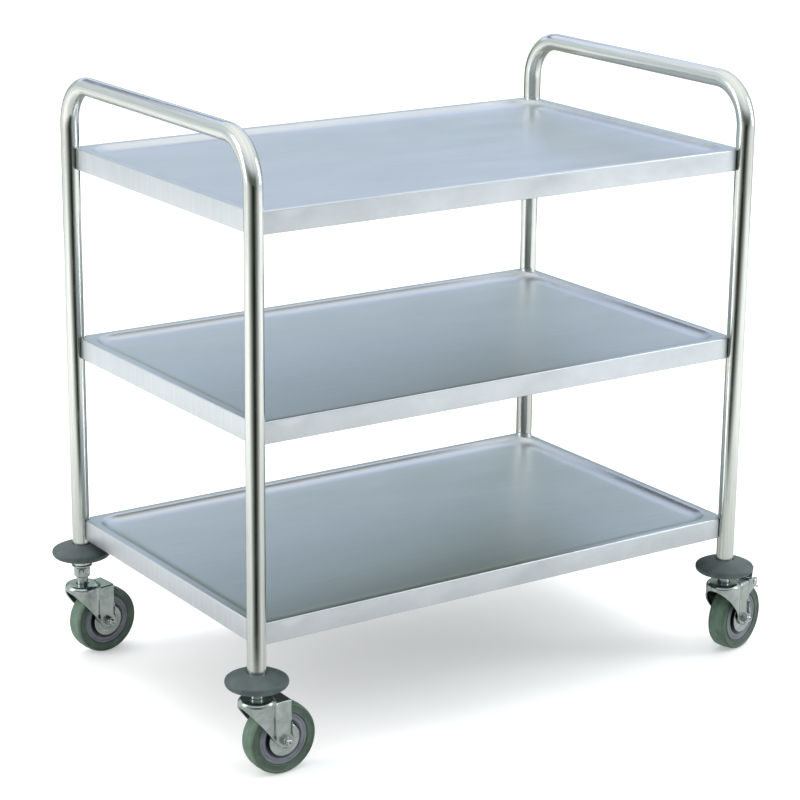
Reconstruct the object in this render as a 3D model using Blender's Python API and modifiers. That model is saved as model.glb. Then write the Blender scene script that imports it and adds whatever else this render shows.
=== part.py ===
"""Food service trolley: three pressed steel shelves between two tube hoops, on four swivel casters.

Metres, +Z up. The origin is on the floor, midway between the four posts. X runs along the
shelves, Y across them, and the hoops stand at the two ends, x = -POST_SPACING_X / 2 and
x = +POST_SPACING_X / 2. The two casters at the +X end have brake pedals.
"""
import math

import bmesh
import bpy
from mathutils import Matrix, Vector

# Frame
POST_SPACING_X = 0.800          # between post axes, along the shelves
POST_SPACING_Y = 0.500          # between post axes, across the shelves
TUBE_DIAMETER = 0.0254
TUBE_WALL = 0.0012
POST_BELOW_SHELF = 0.070        # from a post's foot up to the lowest shelf's border
HANDLE_RISE = 0.092             # from the top shelf's border up to the handle's axis
HOOP_BEND_RADIUS = 0.062        # centre line of the bend

# Shelves
SHELF_PITCH = 0.2735
SHELF_COUNT = 3
SHEET = 0.0012
SHELF_INSET = 0.0015            # rim face inside the line through the post axes
RIM_HEIGHT = 0.0305
RIM_EDGE_RADIUS = 0.0025
RIM_LIP = 0.008                 # the turned-in lower edge of the rim
BORDER_WIDTH = 0.012            # flat border outside the tray
TRAY_WALL_RUN = 0.010           # how far the tray's wall slopes inwards
TRAY_DEPTH = 0.008
TRAY_CORNER_RADIUS = 0.030
POST_NOTCH_GAP = 0.0012         # between a post and the shelf corner that wraps it

# Shelf bolts
BOLT_DIAMETER = 0.006
BOLT_HEAD_ACROSS = 0.010
BOLT_HEAD_HEIGHT = 0.004
BOLT_DROP = 0.0175              # bolt axis below the shelf's top
BOLT_REACH = 0.0035             # past the tube's wall, inside the tube

# Bumper rings
BUMPER_DIAMETER = 0.085
BUMPER_BELOW_FOOT = 0.0065      # widest line below the post's foot
BUMPER_CROWN = 0.0125           # from the widest line up to the tube
BUMPER_SKIRT = 0.008            # from the widest line down to the underside
BUMPER_GRIP = 0.0055            # height of the bore that grips the tube
RAISED_BUMPER_LIFT = 0.026      # one ring sits further up its post
RAISED_BUMPER = "back_left"

# Caster stems
PLUG_LENGTH = 0.045
COLLAR_DIAMETER = 0.030
COLLAR_HEIGHT = 0.0028
STEM_NUT_DIAMETER = 0.0235
STEM_NUT_HEIGHT = 0.016
NECK_DIAMETER = 0.017
NECK_HEIGHT = 0.0114            # bare neck between the fork's crown and the nut
RACE_DIAMETER = 0.034
RACE_HEIGHT = 0.006

# Wheels
WHEEL_DIAMETER = 0.100
TYRE_WIDTH = 0.028
RIM_DIAMETER = 0.072            # hub's outside and tyre's inside
HUB_WIDTH = 0.024
HUB_BOSS_DIAMETER = 0.018
HUB_BOSS_WIDTH = 0.028
HUB_DISH_DIAMETER = 0.054
HUB_DISH_WIDTH = 0.018
CASTER_TRAIL = 0.033            # axle behind the swivel axis

# Forks
FORK_INSIDE_WIDTH = 0.032
FORK_SHEET = 0.0025
CROWN_DIAMETER = 0.051
CROWN_HEIGHT = 0.0145
WHEEL_TO_FORK = 0.0035          # from the tyre's top to the fork's top plate
AXLE_BOSS_RADIUS = 0.0115
CHEEK_FRONT = 0.019             # ahead of the swivel axis
CHEEK_REAR_PAST_AXLE = 0.009

# Axles
AXLE_DIAMETER = 0.008
AXLE_HEX_ACROSS = 0.013
AXLE_HEAD_HEIGHT = 0.005
AXLE_NUT_HEIGHT = 0.0065
AXLE_END_PAST_NUT = 0.003
GUARD_DIAMETER = 0.046
GUARD_THICKNESS = 0.0014

# Brakes
PEDAL_PIN_DIAMETER = 0.005
PEDAL_PIN_PAST_TYRE = 0.0059    # from the tyre's tread out to the pin's axis
PEDAL_PIN_BACK = math.radians(26.57)    # from straight above the axle, backwards
PEDAL_EAR = 0.007               # fork metal around the pin
PEDAL_SHEET = 0.0025
PEDAL_WIDTH = 0.024
PEDAL_BARREL_WIDTH = 0.0305
PEDAL_BARREL_DIAMETER = 0.009
PEDAL_TAB_RUN = 0.0045          # release tab: back and up from the pin
PEDAL_TAB_RISE = 0.021
PEDAL_TAIL_RUN = 0.022          # foot lever: back and down from the pin
PEDAL_TAIL_DROP = 0.017
PEDAL_LIP_RUN = 0.0065
PEDAL_LIP_DROP = 0.0015
RIVET_HEAD_DIAMETER = 0.009
RIVET_HEAD_HEIGHT = 0.0014

# Clearances and facets
TOUCH_GAP = 0.0003              # between pieces that meet
RUNNING_GAP = 0.0004            # around what turns
CORNER_STEPS = 4                # facets round a shelf corner
BEND_STEPS = 6                  # facets along a hoop bend

TUBE_RADIUS = TUBE_DIAMETER / 2
WHEEL_RADIUS = WHEEL_DIAMETER / 2
FORK_PLATE_UNDERSIDE = WHEEL_DIAMETER + WHEEL_TO_FORK
FORK_OUTSIDE_WIDTH = FORK_INSIDE_WIDTH + 2 * FORK_SHEET
CROWN_UNDERSIDE = FORK_PLATE_UNDERSIDE + RACE_HEIGHT
CROWN_TOP = CROWN_UNDERSIDE + FORK_SHEET
NUT_FOOT_Z = CROWN_TOP + NECK_HEIGHT
COLLAR_FOOT_Z = NUT_FOOT_Z + STEM_NUT_HEIGHT
COLLAR_TOP_Z = COLLAR_FOOT_Z + COLLAR_HEIGHT
TUBE_FOOT_Z = COLLAR_TOP_Z + TOUCH_GAP
BUMPER_MID_Z = TUBE_FOOT_Z - BUMPER_BELOW_FOOT
LOWEST_SHELF_Z = TUBE_FOOT_Z + POST_BELOW_SHELF
HANDLE_AXIS_Z = LOWEST_SHELF_Z + (SHELF_COUNT - 1) * SHELF_PITCH + HANDLE_RISE
NOTCH_RADIUS = TUBE_RADIUS + POST_NOTCH_GAP

# Swivel angle of each caster as the trolley stands, counter-clockwise seen from above
CASTERS = {
    "front_left": {"x": -1, "y": -1, "swivel": 0.0, "braked": False},
    "back_left": {"x": -1, "y": 1, "swivel": math.radians(6), "braked": False},
    "front_right": {"x": 1, "y": -1, "swivel": math.radians(16), "braked": True},
    "back_right": {"x": 1, "y": 1, "swivel": math.radians(10), "braked": True},
}


def clear_scene():
    for thing in list(bpy.data.objects):
        bpy.data.objects.remove(thing, do_unlink=True)


def new_collection(name):
    collection = bpy.data.collections.new(name)
    bpy.context.scene.collection.children.link(collection)
    return collection


def new_material(name, colour, roughness, metallic):
    material = bpy.data.materials.new(name)
    material.use_nodes = True
    shader = material.node_tree.nodes["Principled BSDF"]
    shader.inputs["Base Color"].default_value = (*colour, 1.0)
    shader.inputs["Roughness"].default_value = roughness
    shader.inputs["Metallic"].default_value = metallic
    return material


clear_scene()
PARTS = new_collection("food_service_trolley")
CUTTERS = new_collection("cutters")
MATERIALS = {
    "tube": new_material("polished_tube", (0.62, 0.63, 0.62), 0.22, 1.0),
    "shelf": new_material("satin_sheet", (0.60, 0.63, 0.66), 0.38, 1.0),
    "bumper": new_material("grey_rubber", (0.09, 0.12, 0.125), 0.75, 0.0),
    "zinc": new_material("zinc_plate", (0.60, 0.64, 0.64), 0.32, 1.0),
    "tyre": new_material("grey_tyre", (0.075, 0.11, 0.085), 0.80, 0.0),
    "hub": new_material("grey_nylon", (0.16, 0.18, 0.19), 0.55, 0.0),
    "bolt": new_material("bright_fastener", (0.66, 0.67, 0.66), 0.28, 1.0),
}


def mesh_of(bm, name):
    mesh = bpy.data.meshes.new(name)
    bm.to_mesh(mesh)
    bm.free()
    return mesh


def mesh_object(name, bm, material=None, collection=PARTS):
    """Turns a bmesh into a named object."""
    mesh = mesh_of(bm, name)
    thing = bpy.data.objects.new(name, mesh)
    collection.objects.link(thing)
    if material:
        mesh.materials.append(MATERIALS[material])
    return thing


def smooth_round_sides(mesh):
    mesh.shade_smooth()
    mesh.set_sharp_from_angle(angle=math.radians(35))


def finished_mesh(thing, name):
    """The object's mesh with its modifiers applied and its curve caps welded."""
    evaluated = thing.evaluated_get(bpy.context.evaluated_depsgraph_get())
    mesh = bpy.data.meshes.new_from_object(evaluated)
    mesh.name = name
    bm = bmesh.new()
    bm.from_mesh(mesh)
    bmesh.ops.remove_doubles(bm, verts=bm.verts, dist=1e-6)
    bm.to_mesh(mesh)
    bm.free()
    return mesh


def made_mesh(thing, name):
    """Replaces an object by a plain mesh object, with its place and turn in the mesh."""
    bpy.context.view_layer.update()
    mesh = finished_mesh(thing, name)
    mesh.materials.clear()
    mesh.transform(thing.matrix_world)
    bpy.data.objects.remove(thing, do_unlink=True)
    copy = bpy.data.objects.new(name, mesh)
    PARTS.objects.link(copy)
    return copy


def turned(name, profile, steps, closed=True):
    """A (radius, height) profile swept round Z. An open one starts and ends on the axis."""
    bm = bmesh.new()
    points = [bm.verts.new((radius, 0.0, height)) for radius, height in profile]
    for start, end in zip(points, points[1:]):
        bm.edges.new((start, end))
    if closed:
        bm.edges.new((points[-1], points[0]))
    thing = mesh_object(name, bm)
    screw = thing.modifiers.new("turn", "SCREW")
    screw.steps = steps
    screw.render_steps = steps
    screw.use_merge_vertices = True
    screw.merge_threshold = 0.00001
    return thing


def box_cutter(name, size, centre):
    bm = bmesh.new()
    bmesh.ops.create_cube(bm, size=1.0)
    bmesh.ops.scale(bm, vec=size, verts=bm.verts)
    bmesh.ops.translate(bm, vec=centre, verts=bm.verts)
    return mesh_object(name, bm, collection=CUTTERS)


def rod_cutter(name, rods, radius, steps=12):
    """Closed round bars, each from a start point to an end point, as one cutter."""
    bm = bmesh.new()
    for start, end in rods:
        along = Vector(end) - Vector(start)
        turn = along.to_track_quat("Z", "Y").to_matrix().to_4x4()
        place = Matrix.Translation((Vector(start) + Vector(end)) / 2) @ turn
        bmesh.ops.create_cone(
            bm, cap_ends=True, segments=steps, radius1=radius, radius2=radius,
            depth=along.length, matrix=place,
        )
    return mesh_object(name, bm, collection=CUTTERS)


def combine(thing, other, operation):
    """Adds a Boolean with a hidden helper object."""
    if other.name not in CUTTERS.objects:
        PARTS.objects.unlink(other)
        CUTTERS.objects.link(other)
    other.hide_render = True
    other.display_type = "WIRE"
    cut = thing.modifiers.new(operation.lower(), "BOOLEAN")
    cut.operation = operation
    cut.solver = "EXACT"
    cut.object = other


def extruded_side_view(name, outline, width):
    """An (x, z) outline, extruded across Y to the given width."""
    curve = bpy.data.curves.new(name, "CURVE")
    curve.dimensions = "2D"
    curve.fill_mode = "BOTH"
    curve.extrude = width / 2
    spline = curve.splines.new("POLY")
    spline.points.add(len(outline) - 1)
    for point, (x, z) in zip(spline.points, outline):
        point.co = (x, z, 0.0, 1.0)
    spline.use_cyclic_u = True
    thing = bpy.data.objects.new(name, curve)
    PARTS.objects.link(thing)
    thing.rotation_euler = (math.pi / 2, 0.0, 0.0)
    solid = made_mesh(thing, name)
    bm = bmesh.new()
    bm.from_mesh(solid.data)
    bmesh.ops.recalc_face_normals(bm, faces=bm.faces)
    bm.to_mesh(solid.data)
    bm.free()
    return solid


def round_points(bm, height, diameter):
    """Twelve points on a circle."""
    points = []
    for step in range(12):
        angle = math.radians(30 * step)
        x = diameter / 2 * math.cos(angle)
        y = diameter / 2 * math.sin(angle)
        points.append(bm.verts.new((x, y, height)))
    return points


def hex_points(bm, height, across):
    """Twelve points on a hexagon: the middles of its sides and its corners, in turn."""
    points = []
    for step in range(12):
        angle = math.radians(30 * step)
        reach = across / 2
        if step % 2 == 1:
            reach /= math.cos(math.radians(30))
        points.append(bm.verts.new((reach * math.cos(angle), reach * math.sin(angle), height)))
    return points


def loft(bm, rings, closed):
    """Joins rings of points with faces, and either closes the loft on itself or caps its ends."""
    followers = rings[1:]
    if closed:
        followers = rings[1:] + rings[:1]
    for lower, upper in zip(rings, followers):
        for i in range(len(lower)):
            j = (i + 1) % len(lower)
            bm.faces.new((lower[i], lower[j], upper[j], upper[i]))
    if not closed:
        bm.faces.new(list(reversed(rings[0])))
        bm.faces.new(rings[-1])
    bmesh.ops.recalc_face_normals(bm, faces=bm.faces)


def hex_bolt_mesh(name, across, head, diameter, shank):
    """Head from z = 0 down to -head, shank from z = 0 up."""
    bm = bmesh.new()
    loft(bm, [
        hex_points(bm, -head, across),
        hex_points(bm, 0.0, across),
        round_points(bm, 0.0, diameter),
        round_points(bm, shank, diameter),
    ], closed=False)
    return mesh_of(bm, name)


def hex_nut_mesh(name, across, height, bore):
    """From z = 0 up to its height, with a round bore."""
    bm = bmesh.new()
    loft(bm, [
        round_points(bm, 0.0, bore),
        hex_points(bm, 0.0, across),
        hex_points(bm, height, across),
        round_points(bm, height, bore),
    ], closed=True)
    return mesh_of(bm, name)


def placed(name, mesh, material, location, rotation=(0.0, 0.0, 0.0), parent=None):
    """A new object that may share its mesh with others."""
    thing = bpy.data.objects.new(name, mesh)
    PARTS.objects.link(thing)
    thing.parent = parent
    thing.location = location
    thing.rotation_euler = rotation
    if not mesh.materials:
        mesh.materials.append(MATERIALS[material])
    return thing


def shelf_top(index):
    return LOWEST_SHELF_Z + index * SHELF_PITCH


def bolt_line(side_x, side_y, z, inner, outer):
    """Points on a shelf bolt's axis, given as distances from its post's axis."""
    post = Vector((side_x * POST_SPACING_X / 2, side_y * POST_SPACING_Y / 2, z))
    inwards = Vector((-side_x, -side_y, 0.0)).normalized()
    return post + inwards * inner, post + inwards * outer


# Hoops

def hoop(name, side_x):
    """One bent tube: up a post, across the handle and down the other post."""
    half = POST_SPACING_Y / 2
    bend = HOOP_BEND_RADIUS
    centre_z = HANDLE_AXIS_Z - bend
    path = [(-half, TUBE_FOOT_Z)]
    for side, start in ((-1, 180), (1, 90)):
        for step in range(BEND_STEPS + 1):
            angle = math.radians(start - 90 * step / BEND_STEPS)
            y = side * (half - bend) + bend * math.cos(angle)
            path.append((y, centre_z + bend * math.sin(angle)))
    path.append((half, TUBE_FOOT_Z))

    curve = bpy.data.curves.new(name, "CURVE")
    curve.dimensions = "3D"
    curve.bevel_depth = TUBE_RADIUS
    curve.bevel_resolution = 4
    curve.use_fill_caps = False
    spline = curve.splines.new("POLY")
    spline.points.add(len(path) - 1)
    for point, (y, z) in zip(spline.points, path):
        point.co = (side_x * POST_SPACING_X / 2, y, z, 1.0)
    sweep = bpy.data.objects.new(name, curve)
    PARTS.objects.link(sweep)
    tube = made_mesh(sweep, name)
    tube.data.materials.append(MATERIALS["tube"])
    wall = tube.modifiers.new("wall", "SOLIDIFY")
    wall.thickness = TUBE_WALL
    wall.offset = -1.0
    wall.use_even_offset = True
    holes = [
        bolt_line(side_x, side_y, shelf_top(index) - BOLT_DROP, 0.0, TUBE_DIAMETER)
        for side_y in (-1, 1)
        for index in range(SHELF_COUNT)
    ]
    combine(tube, rod_cutter(name + "_holes", holes, BOLT_DIAMETER / 2 + TOUCH_GAP), "DIFFERENCE")
    smooth_round_sides(tube.data)
    return tube


# Shelves

def corner_ring(inset, corner_radius=None):
    """Points round a shelf, counter-clockwise seen from above.

    With a corner radius the corners are rounded. Without one they are cut back in an arc
    about each post, which grows with the inset.
    """
    edge = SHELF_INSET + inset
    points = []
    for side_x, side_y in ((1, 1), (-1, 1), (-1, -1), (1, -1)):
        corner = []
        for step in range(CORNER_STEPS + 1):
            part = step / CORNER_STEPS
            if corner_radius is None:
                radius = NOTCH_RADIUS + inset
                lead = math.asin(edge / radius)
                angle = math.radians(270) - lead - part * (math.radians(90) - 2 * lead)
                x = POST_SPACING_X / 2 + radius * math.cos(angle)
                y = POST_SPACING_Y / 2 + radius * math.sin(angle)
            else:
                angle = part * math.radians(90)
                reach = corner_radius * (1 - math.cos(angle))
                x = POST_SPACING_X / 2 - edge - reach
                y = POST_SPACING_Y / 2 - edge - corner_radius * (1 - math.sin(angle))
            corner.append((side_x * x, side_y * y))
        points += corner if side_x * side_y > 0 else reversed(corner)
    return points


def shelf(name, top):
    """A pressed tray: turned-in lip, rim, flat border, sloping wall and floor."""
    radius = RIM_EDGE_RADIUS
    slope = TRAY_WALL_RUN / 3
    rings = [
        (corner_ring(RIM_LIP), -RIM_HEIGHT),
        (corner_ring(0.0), -RIM_HEIGHT),
        (corner_ring(0.0), -radius),
        (corner_ring(radius * 0.3), -radius * 0.3),
        (corner_ring(radius), 0.0),
        (corner_ring(BORDER_WIDTH, TRAY_CORNER_RADIUS), 0.0),
        (corner_ring(BORDER_WIDTH + slope, TRAY_CORNER_RADIUS - slope), -TRAY_DEPTH * 0.2),
        (corner_ring(BORDER_WIDTH + 2 * slope, TRAY_CORNER_RADIUS - 2 * slope), -TRAY_DEPTH * 0.8),
        (corner_ring(BORDER_WIDTH + 3 * slope, TRAY_CORNER_RADIUS - 3 * slope), -TRAY_DEPTH),
    ]
    bm = bmesh.new()
    loops = [[bm.verts.new((x, y, z)) for x, y in points] for points, z in rings]
    for outer, inner in zip(loops, loops[1:]):
        for i in range(len(outer)):
            j = (i + 1) % len(outer)
            bm.faces.new((outer[i], outer[j], inner[j], inner[i]))
    bm.faces.new(loops[-1])
    tray = mesh_object(name, bm, "shelf")
    tray.location = (0.0, 0.0, top)
    sheet = tray.modifiers.new("sheet", "SOLIDIFY")
    sheet.thickness = SHEET
    sheet.offset = -1.0
    sheet.use_even_offset = True
    holes = [
        bolt_line(side_x, side_y, top - BOLT_DROP, TUBE_RADIUS, NOTCH_RADIUS + 4 * SHEET)
        for side_x in (-1, 1)
        for side_y in (-1, 1)
    ]
    combine(tray, rod_cutter(name + "_holes", holes, BOLT_DIAMETER / 2 + TOUCH_GAP), "DIFFERENCE")
    smooth_round_sides(tray.data)
    return tray


def shelf_bolts(shelf_name, top):
    """Four hex bolts, each through a shelf corner into its post."""
    bearing = NOTCH_RADIUS + SHEET + TOUCH_GAP
    shank = bearing - (TUBE_RADIUS - TUBE_WALL - BOLT_REACH)
    mesh = hex_bolt_mesh("shelf_bolt", BOLT_HEAD_ACROSS, BOLT_HEAD_HEIGHT, BOLT_DIAMETER, shank)
    for corner, where in CASTERS.items():
        start, _ = bolt_line(where["x"], where["y"], top - BOLT_DROP, bearing, bearing)
        outwards = Vector((where["x"], where["y"], 0.0))
        turn = outwards.to_track_quat("Z", "Y").to_euler()
        placed(f"{shelf_name}_bolt_{corner}", mesh, "bolt", start, turn)


# Bumpers and stems

def bumper_mesh():
    """A rubber ring with a domed top, an open underside and a bore that grips the tube."""
    rim = BUMPER_DIAMETER / 2
    bore = TUBE_RADIUS + TOUCH_GAP
    pocket = COLLAR_DIAMETER / 2 + 4 * TOUCH_GAP
    ring = turned("bumper", [
        (bore, BUMPER_CROWN),
        (rim * 0.62, BUMPER_CROWN * 0.72),
        (rim * 0.93, BUMPER_CROWN * 0.36),
        (rim, 0.0),
        (rim * 0.94, -BUMPER_SKIRT * 0.75),
        (rim * 0.78, -BUMPER_SKIRT),
        (pocket, -BUMPER_SKIRT),
        (pocket, BUMPER_CROWN - BUMPER_GRIP),
        (bore, BUMPER_CROWN - BUMPER_GRIP),
    ], 20)
    return shared(ring, "bumper")


def shared(thing, name):
    """Keeps an object's finished mesh and removes the object."""
    bpy.context.view_layer.update()
    mesh = finished_mesh(thing, name)
    bpy.data.objects.remove(thing, do_unlink=True)
    mesh.materials.clear()
    smooth_round_sides(mesh)
    return mesh


def stem_mesh():
    """Race, neck, nut, collar and the plug inside the post, turned in one piece."""
    race = RACE_DIAMETER / 2
    neck = NECK_DIAMETER / 2
    nut = STEM_NUT_DIAMETER / 2
    collar = COLLAR_DIAMETER / 2
    plug = (TUBE_RADIUS * math.cos(math.radians(15)) - TUBE_WALL) - RUNNING_GAP
    race_top = CROWN_UNDERSIDE - TOUCH_GAP
    stem = turned("stem", [
        (0.0, TUBE_FOOT_Z + PLUG_LENGTH),
        (plug, TUBE_FOOT_Z + PLUG_LENGTH),
        (plug, COLLAR_TOP_Z),
        (collar, COLLAR_TOP_Z),
        (collar, COLLAR_FOOT_Z),
        (nut, COLLAR_FOOT_Z),
        (nut, NUT_FOOT_Z),
        (neck, NUT_FOOT_Z),
        (neck, race_top),
        (race, race_top),
        (race, FORK_PLATE_UNDERSIDE),
        (0.0, FORK_PLATE_UNDERSIDE),
    ], 12, closed=False)
    return shared(stem, "stem")


# Casters, drawn about the swivel axis with the wheel trailing towards +X

def tangent_angle(point, centre, radius, side):
    """Angle at which a line from a point touches a circle."""
    dx, dz = point[0] - centre[0], point[1] - centre[1]
    return math.atan2(dz, dx) + side * math.acos(radius / math.hypot(dx, dz))


def arc(centre, radius, start, end, steps):
    return [
        (centre[0] + radius * math.cos(start + (end - start) * step / steps),
         centre[1] + radius * math.sin(start + (end - start) * step / steps))
        for step in range(steps + 1)
    ]


def pedal_pin():
    """The pin's axis in the fork's side view."""
    reach = WHEEL_RADIUS + PEDAL_PIN_PAST_TYRE
    x = CASTER_TRAIL + reach * math.sin(PEDAL_PIN_BACK)
    return x, WHEEL_RADIUS + reach * math.cos(PEDAL_PIN_BACK)


def fork_outline(braked):
    """Side view of the fork: cheek, axle boss and, with a brake, the ear for the pedal's pin."""
    top = FORK_PLATE_UNDERSIDE + FORK_SHEET
    front_foot = (-CHEEK_FRONT, top - 0.0105)
    axle = (CASTER_TRAIL, WHEEL_RADIUS)
    rear = CASTER_TRAIL + CHEEK_REAR_PAST_AXLE
    leading = tangent_angle(front_foot, axle, AXLE_BOSS_RADIUS, 1)
    trailing = math.acos(CHEEK_REAR_PAST_AXLE / AXLE_BOSS_RADIUS)
    outline = [(-CHEEK_FRONT, top), front_foot]
    outline += arc(axle, AXLE_BOSS_RADIUS, leading, trailing + 2 * math.pi, 9)
    if braked:
        pin = pedal_pin()
        below = (rear, pin[1] - 2.4 * PEDAL_EAR)
        outline.append(below)
        outline += arc(pin, PEDAL_EAR, tangent_angle(below, pin, PEDAL_EAR, 1), math.pi / 2, 5)
    else:
        outline.append((rear, top))
    return outline


def fork_mesh(braked):
    """A folded channel with a domed crown on top, cut for the wheel, race, axle and pedal."""
    name = "braked_fork" if braked else "fork"
    plate = FORK_PLATE_UNDERSIDE
    channel = extruded_side_view(name, fork_outline(braked), FORK_OUTSIDE_WIDTH)
    wheel_room = box_cutter(name + "_wheel_room", (0.3, FORK_INSIDE_WIDTH, 0.3),
                            (0.0, 0.0, plate - 0.15))
    combine(channel, wheel_room, "DIFFERENCE")
    race_reach = RACE_DIAMETER / 2 + 2 * RUNNING_GAP
    race_room = rod_cutter(name + "_race_room", [((0, 0, plate - 4 * RUNNING_GAP), (0, 0, 0.2))],
                           race_reach, 16)
    combine(channel, race_room, "DIFFERENCE")

    outside = CROWN_DIAMETER / 2
    inside = outside - FORK_SHEET
    foot = CROWN_TOP - CROWN_HEIGHT
    hole = NECK_DIAMETER / 2 + 1.5 * RUNNING_GAP
    crown = turned(name + "_crown", [
        (hole, CROWN_TOP),
        (outside * 0.78, CROWN_TOP),
        (outside * 0.95, CROWN_TOP - 0.0028),
        (outside, CROWN_TOP - 0.0065),
        (outside, foot),
        (race_reach, foot),
        (race_reach, foot + FORK_SHEET),
        (inside, foot + FORK_SHEET),
        (inside, CROWN_TOP - 0.0065),
        (outside * 0.75, CROWN_UNDERSIDE),
        (hole, CROWN_UNDERSIDE),
    ], 16)
    crown_room = box_cutter(name + "_crown_room", (0.1, FORK_INSIDE_WIDTH, 0.1),
                            (0.05, 0.0, plate - 0.05))
    combine(crown, crown_room, "DIFFERENCE")
    combine(channel, crown, "UNION")

    half = FORK_OUTSIDE_WIDTH
    drills = [((CASTER_TRAIL, -half, WHEEL_RADIUS), (CASTER_TRAIL, half, WHEEL_RADIUS))]
    axle_holes = rod_cutter(name + "_axle_holes", drills, AXLE_DIAMETER / 2 + TOUCH_GAP)
    combine(channel, axle_holes, "DIFFERENCE")
    if braked:
        x, z = pedal_pin()
        pin_holes = rod_cutter(name + "_pin_holes", [((x, -half, z), (x, half, z))],
                               PEDAL_PIN_DIAMETER / 2 + TOUCH_GAP)
        combine(channel, pin_holes, "DIFFERENCE")
        rear = CASTER_TRAIL + CHEEK_REAR_PAST_AXLE
        pedal_room = box_cutter(name + "_pedal_room", (0.1, FORK_INSIDE_WIDTH, 0.3),
                                (rear + 0.05, 0.0, plate))
        combine(channel, pedal_room, "DIFFERENCE")
    return shared(channel, name)


def hub_mesh():
    bore = AXLE_DIAMETER / 2 + RUNNING_GAP
    boss = HUB_BOSS_DIAMETER / 2
    dish = HUB_DISH_DIAMETER / 2
    rim = RIM_DIAMETER / 2
    half = HUB_WIDTH / 2
    return shared(turned("hub", [
        (bore, HUB_BOSS_WIDTH / 2),
        (boss, HUB_BOSS_WIDTH / 2),
        (dish, HUB_DISH_WIDTH / 2),
        (rim, half),
        (rim, -half),
        (dish, -HUB_DISH_WIDTH / 2),
        (boss, -HUB_BOSS_WIDTH / 2),
        (bore, -HUB_BOSS_WIDTH / 2),
    ], 24), "hub")


def tyre_mesh():
    seat = RIM_DIAMETER / 2 + TOUCH_GAP
    half = TYRE_WIDTH / 2
    return shared(turned("tyre", [
        (seat, half * 0.90),
        (WHEEL_RADIUS * 0.90, half),
        (WHEEL_RADIUS * 0.97, half * 0.86),
        (WHEEL_RADIUS, half * 0.57),
        (WHEEL_RADIUS, -half * 0.57),
        (WHEEL_RADIUS * 0.97, -half * 0.86),
        (WHEEL_RADIUS * 0.90, -half),
        (seat, -half * 0.90),
    ], 24), "tyre")


def guard_mesh():
    bore = AXLE_DIAMETER / 2 + RUNNING_GAP
    return shared(turned("guard", [
        (bore, GUARD_THICKNESS / 2),
        (GUARD_DIAMETER / 2, GUARD_THICKNESS / 2),
        (GUARD_DIAMETER / 2, -GUARD_THICKNESS / 2),
        (bore, -GUARD_THICKNESS / 2),
    ], 16), "guard")


def ribbon(points, thickness):
    """Outline of a bent strip of even thickness along a line of (x, z) points."""
    left, right = [], []
    for i, (x, z) in enumerate(points):
        before = points[max(i - 1, 0)]
        after = points[min(i + 1, len(points) - 1)]
        along = Vector((after[0] - before[0], after[1] - before[1])).normalized()
        left.append((x - along.y * thickness / 2, z + along.x * thickness / 2))
        right.append((x + along.y * thickness / 2, z - along.x * thickness / 2))
    return left + right[::-1]


def pedal_mesh():
    """A bent foot lever and release tab on a barrel, with the pin's axis at the origin."""
    strip = ribbon([
        (PEDAL_TAB_RUN, PEDAL_TAB_RISE),
        (0.0, 0.0),
        (PEDAL_TAIL_RUN, -PEDAL_TAIL_DROP),
        (PEDAL_TAIL_RUN + PEDAL_LIP_RUN, -PEDAL_TAIL_DROP - PEDAL_LIP_DROP),
    ], PEDAL_SHEET)
    pedal = extruded_side_view("pedal", strip, PEDAL_WIDTH)
    across = PEDAL_BARREL_WIDTH / 2
    barrel = rod_cutter("pedal_barrel", [((0, -across, 0), (0, across, 0))],
                        PEDAL_BARREL_DIAMETER / 2)
    combine(pedal, barrel, "UNION")
    bore = rod_cutter("pedal_bore", [((0, -2 * across, 0), (0, 2 * across, 0))],
                      PEDAL_PIN_DIAMETER / 2 + RUNNING_GAP)
    combine(pedal, bore, "DIFFERENCE")
    return shared(pedal, "pedal")


def pedal_pin_mesh():
    """A rivet with a head outside each cheek, along Z."""
    pin = PEDAL_PIN_DIAMETER / 2
    head = RIVET_HEAD_DIAMETER / 2
    inner = FORK_OUTSIDE_WIDTH / 2 + TOUCH_GAP
    outer = inner + RIVET_HEAD_HEIGHT
    return shared(turned("pedal_pin", [
        (0.0, outer), (head, outer), (head, inner), (pin, inner),
        (pin, -inner), (head, -inner), (head, -outer), (0.0, -outer),
    ], 12, closed=False), "pedal_pin")


def caster_meshes():
    across = FORK_OUTSIDE_WIDTH / 2 + TOUCH_GAP
    grip = 2 * across + TOUCH_GAP + AXLE_NUT_HEIGHT + AXLE_END_PAST_NUT
    return {
        "fork": fork_mesh(braked=False),
        "braked_fork": fork_mesh(braked=True),
        "hub": hub_mesh(),
        "tyre": tyre_mesh(),
        "guard": guard_mesh(),
        "axle": hex_bolt_mesh("axle", AXLE_HEX_ACROSS, AXLE_HEAD_HEIGHT, AXLE_DIAMETER, grip),
        "nut": hex_nut_mesh("axle_nut", AXLE_HEX_ACROSS, AXLE_NUT_HEIGHT,
                            AXLE_DIAMETER + 2 * TOUCH_GAP),
        "pedal": pedal_mesh(),
        "pedal_pin": pedal_pin_mesh(),
        "stem": stem_mesh(),
        "bumper": bumper_mesh(),
    }


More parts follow.
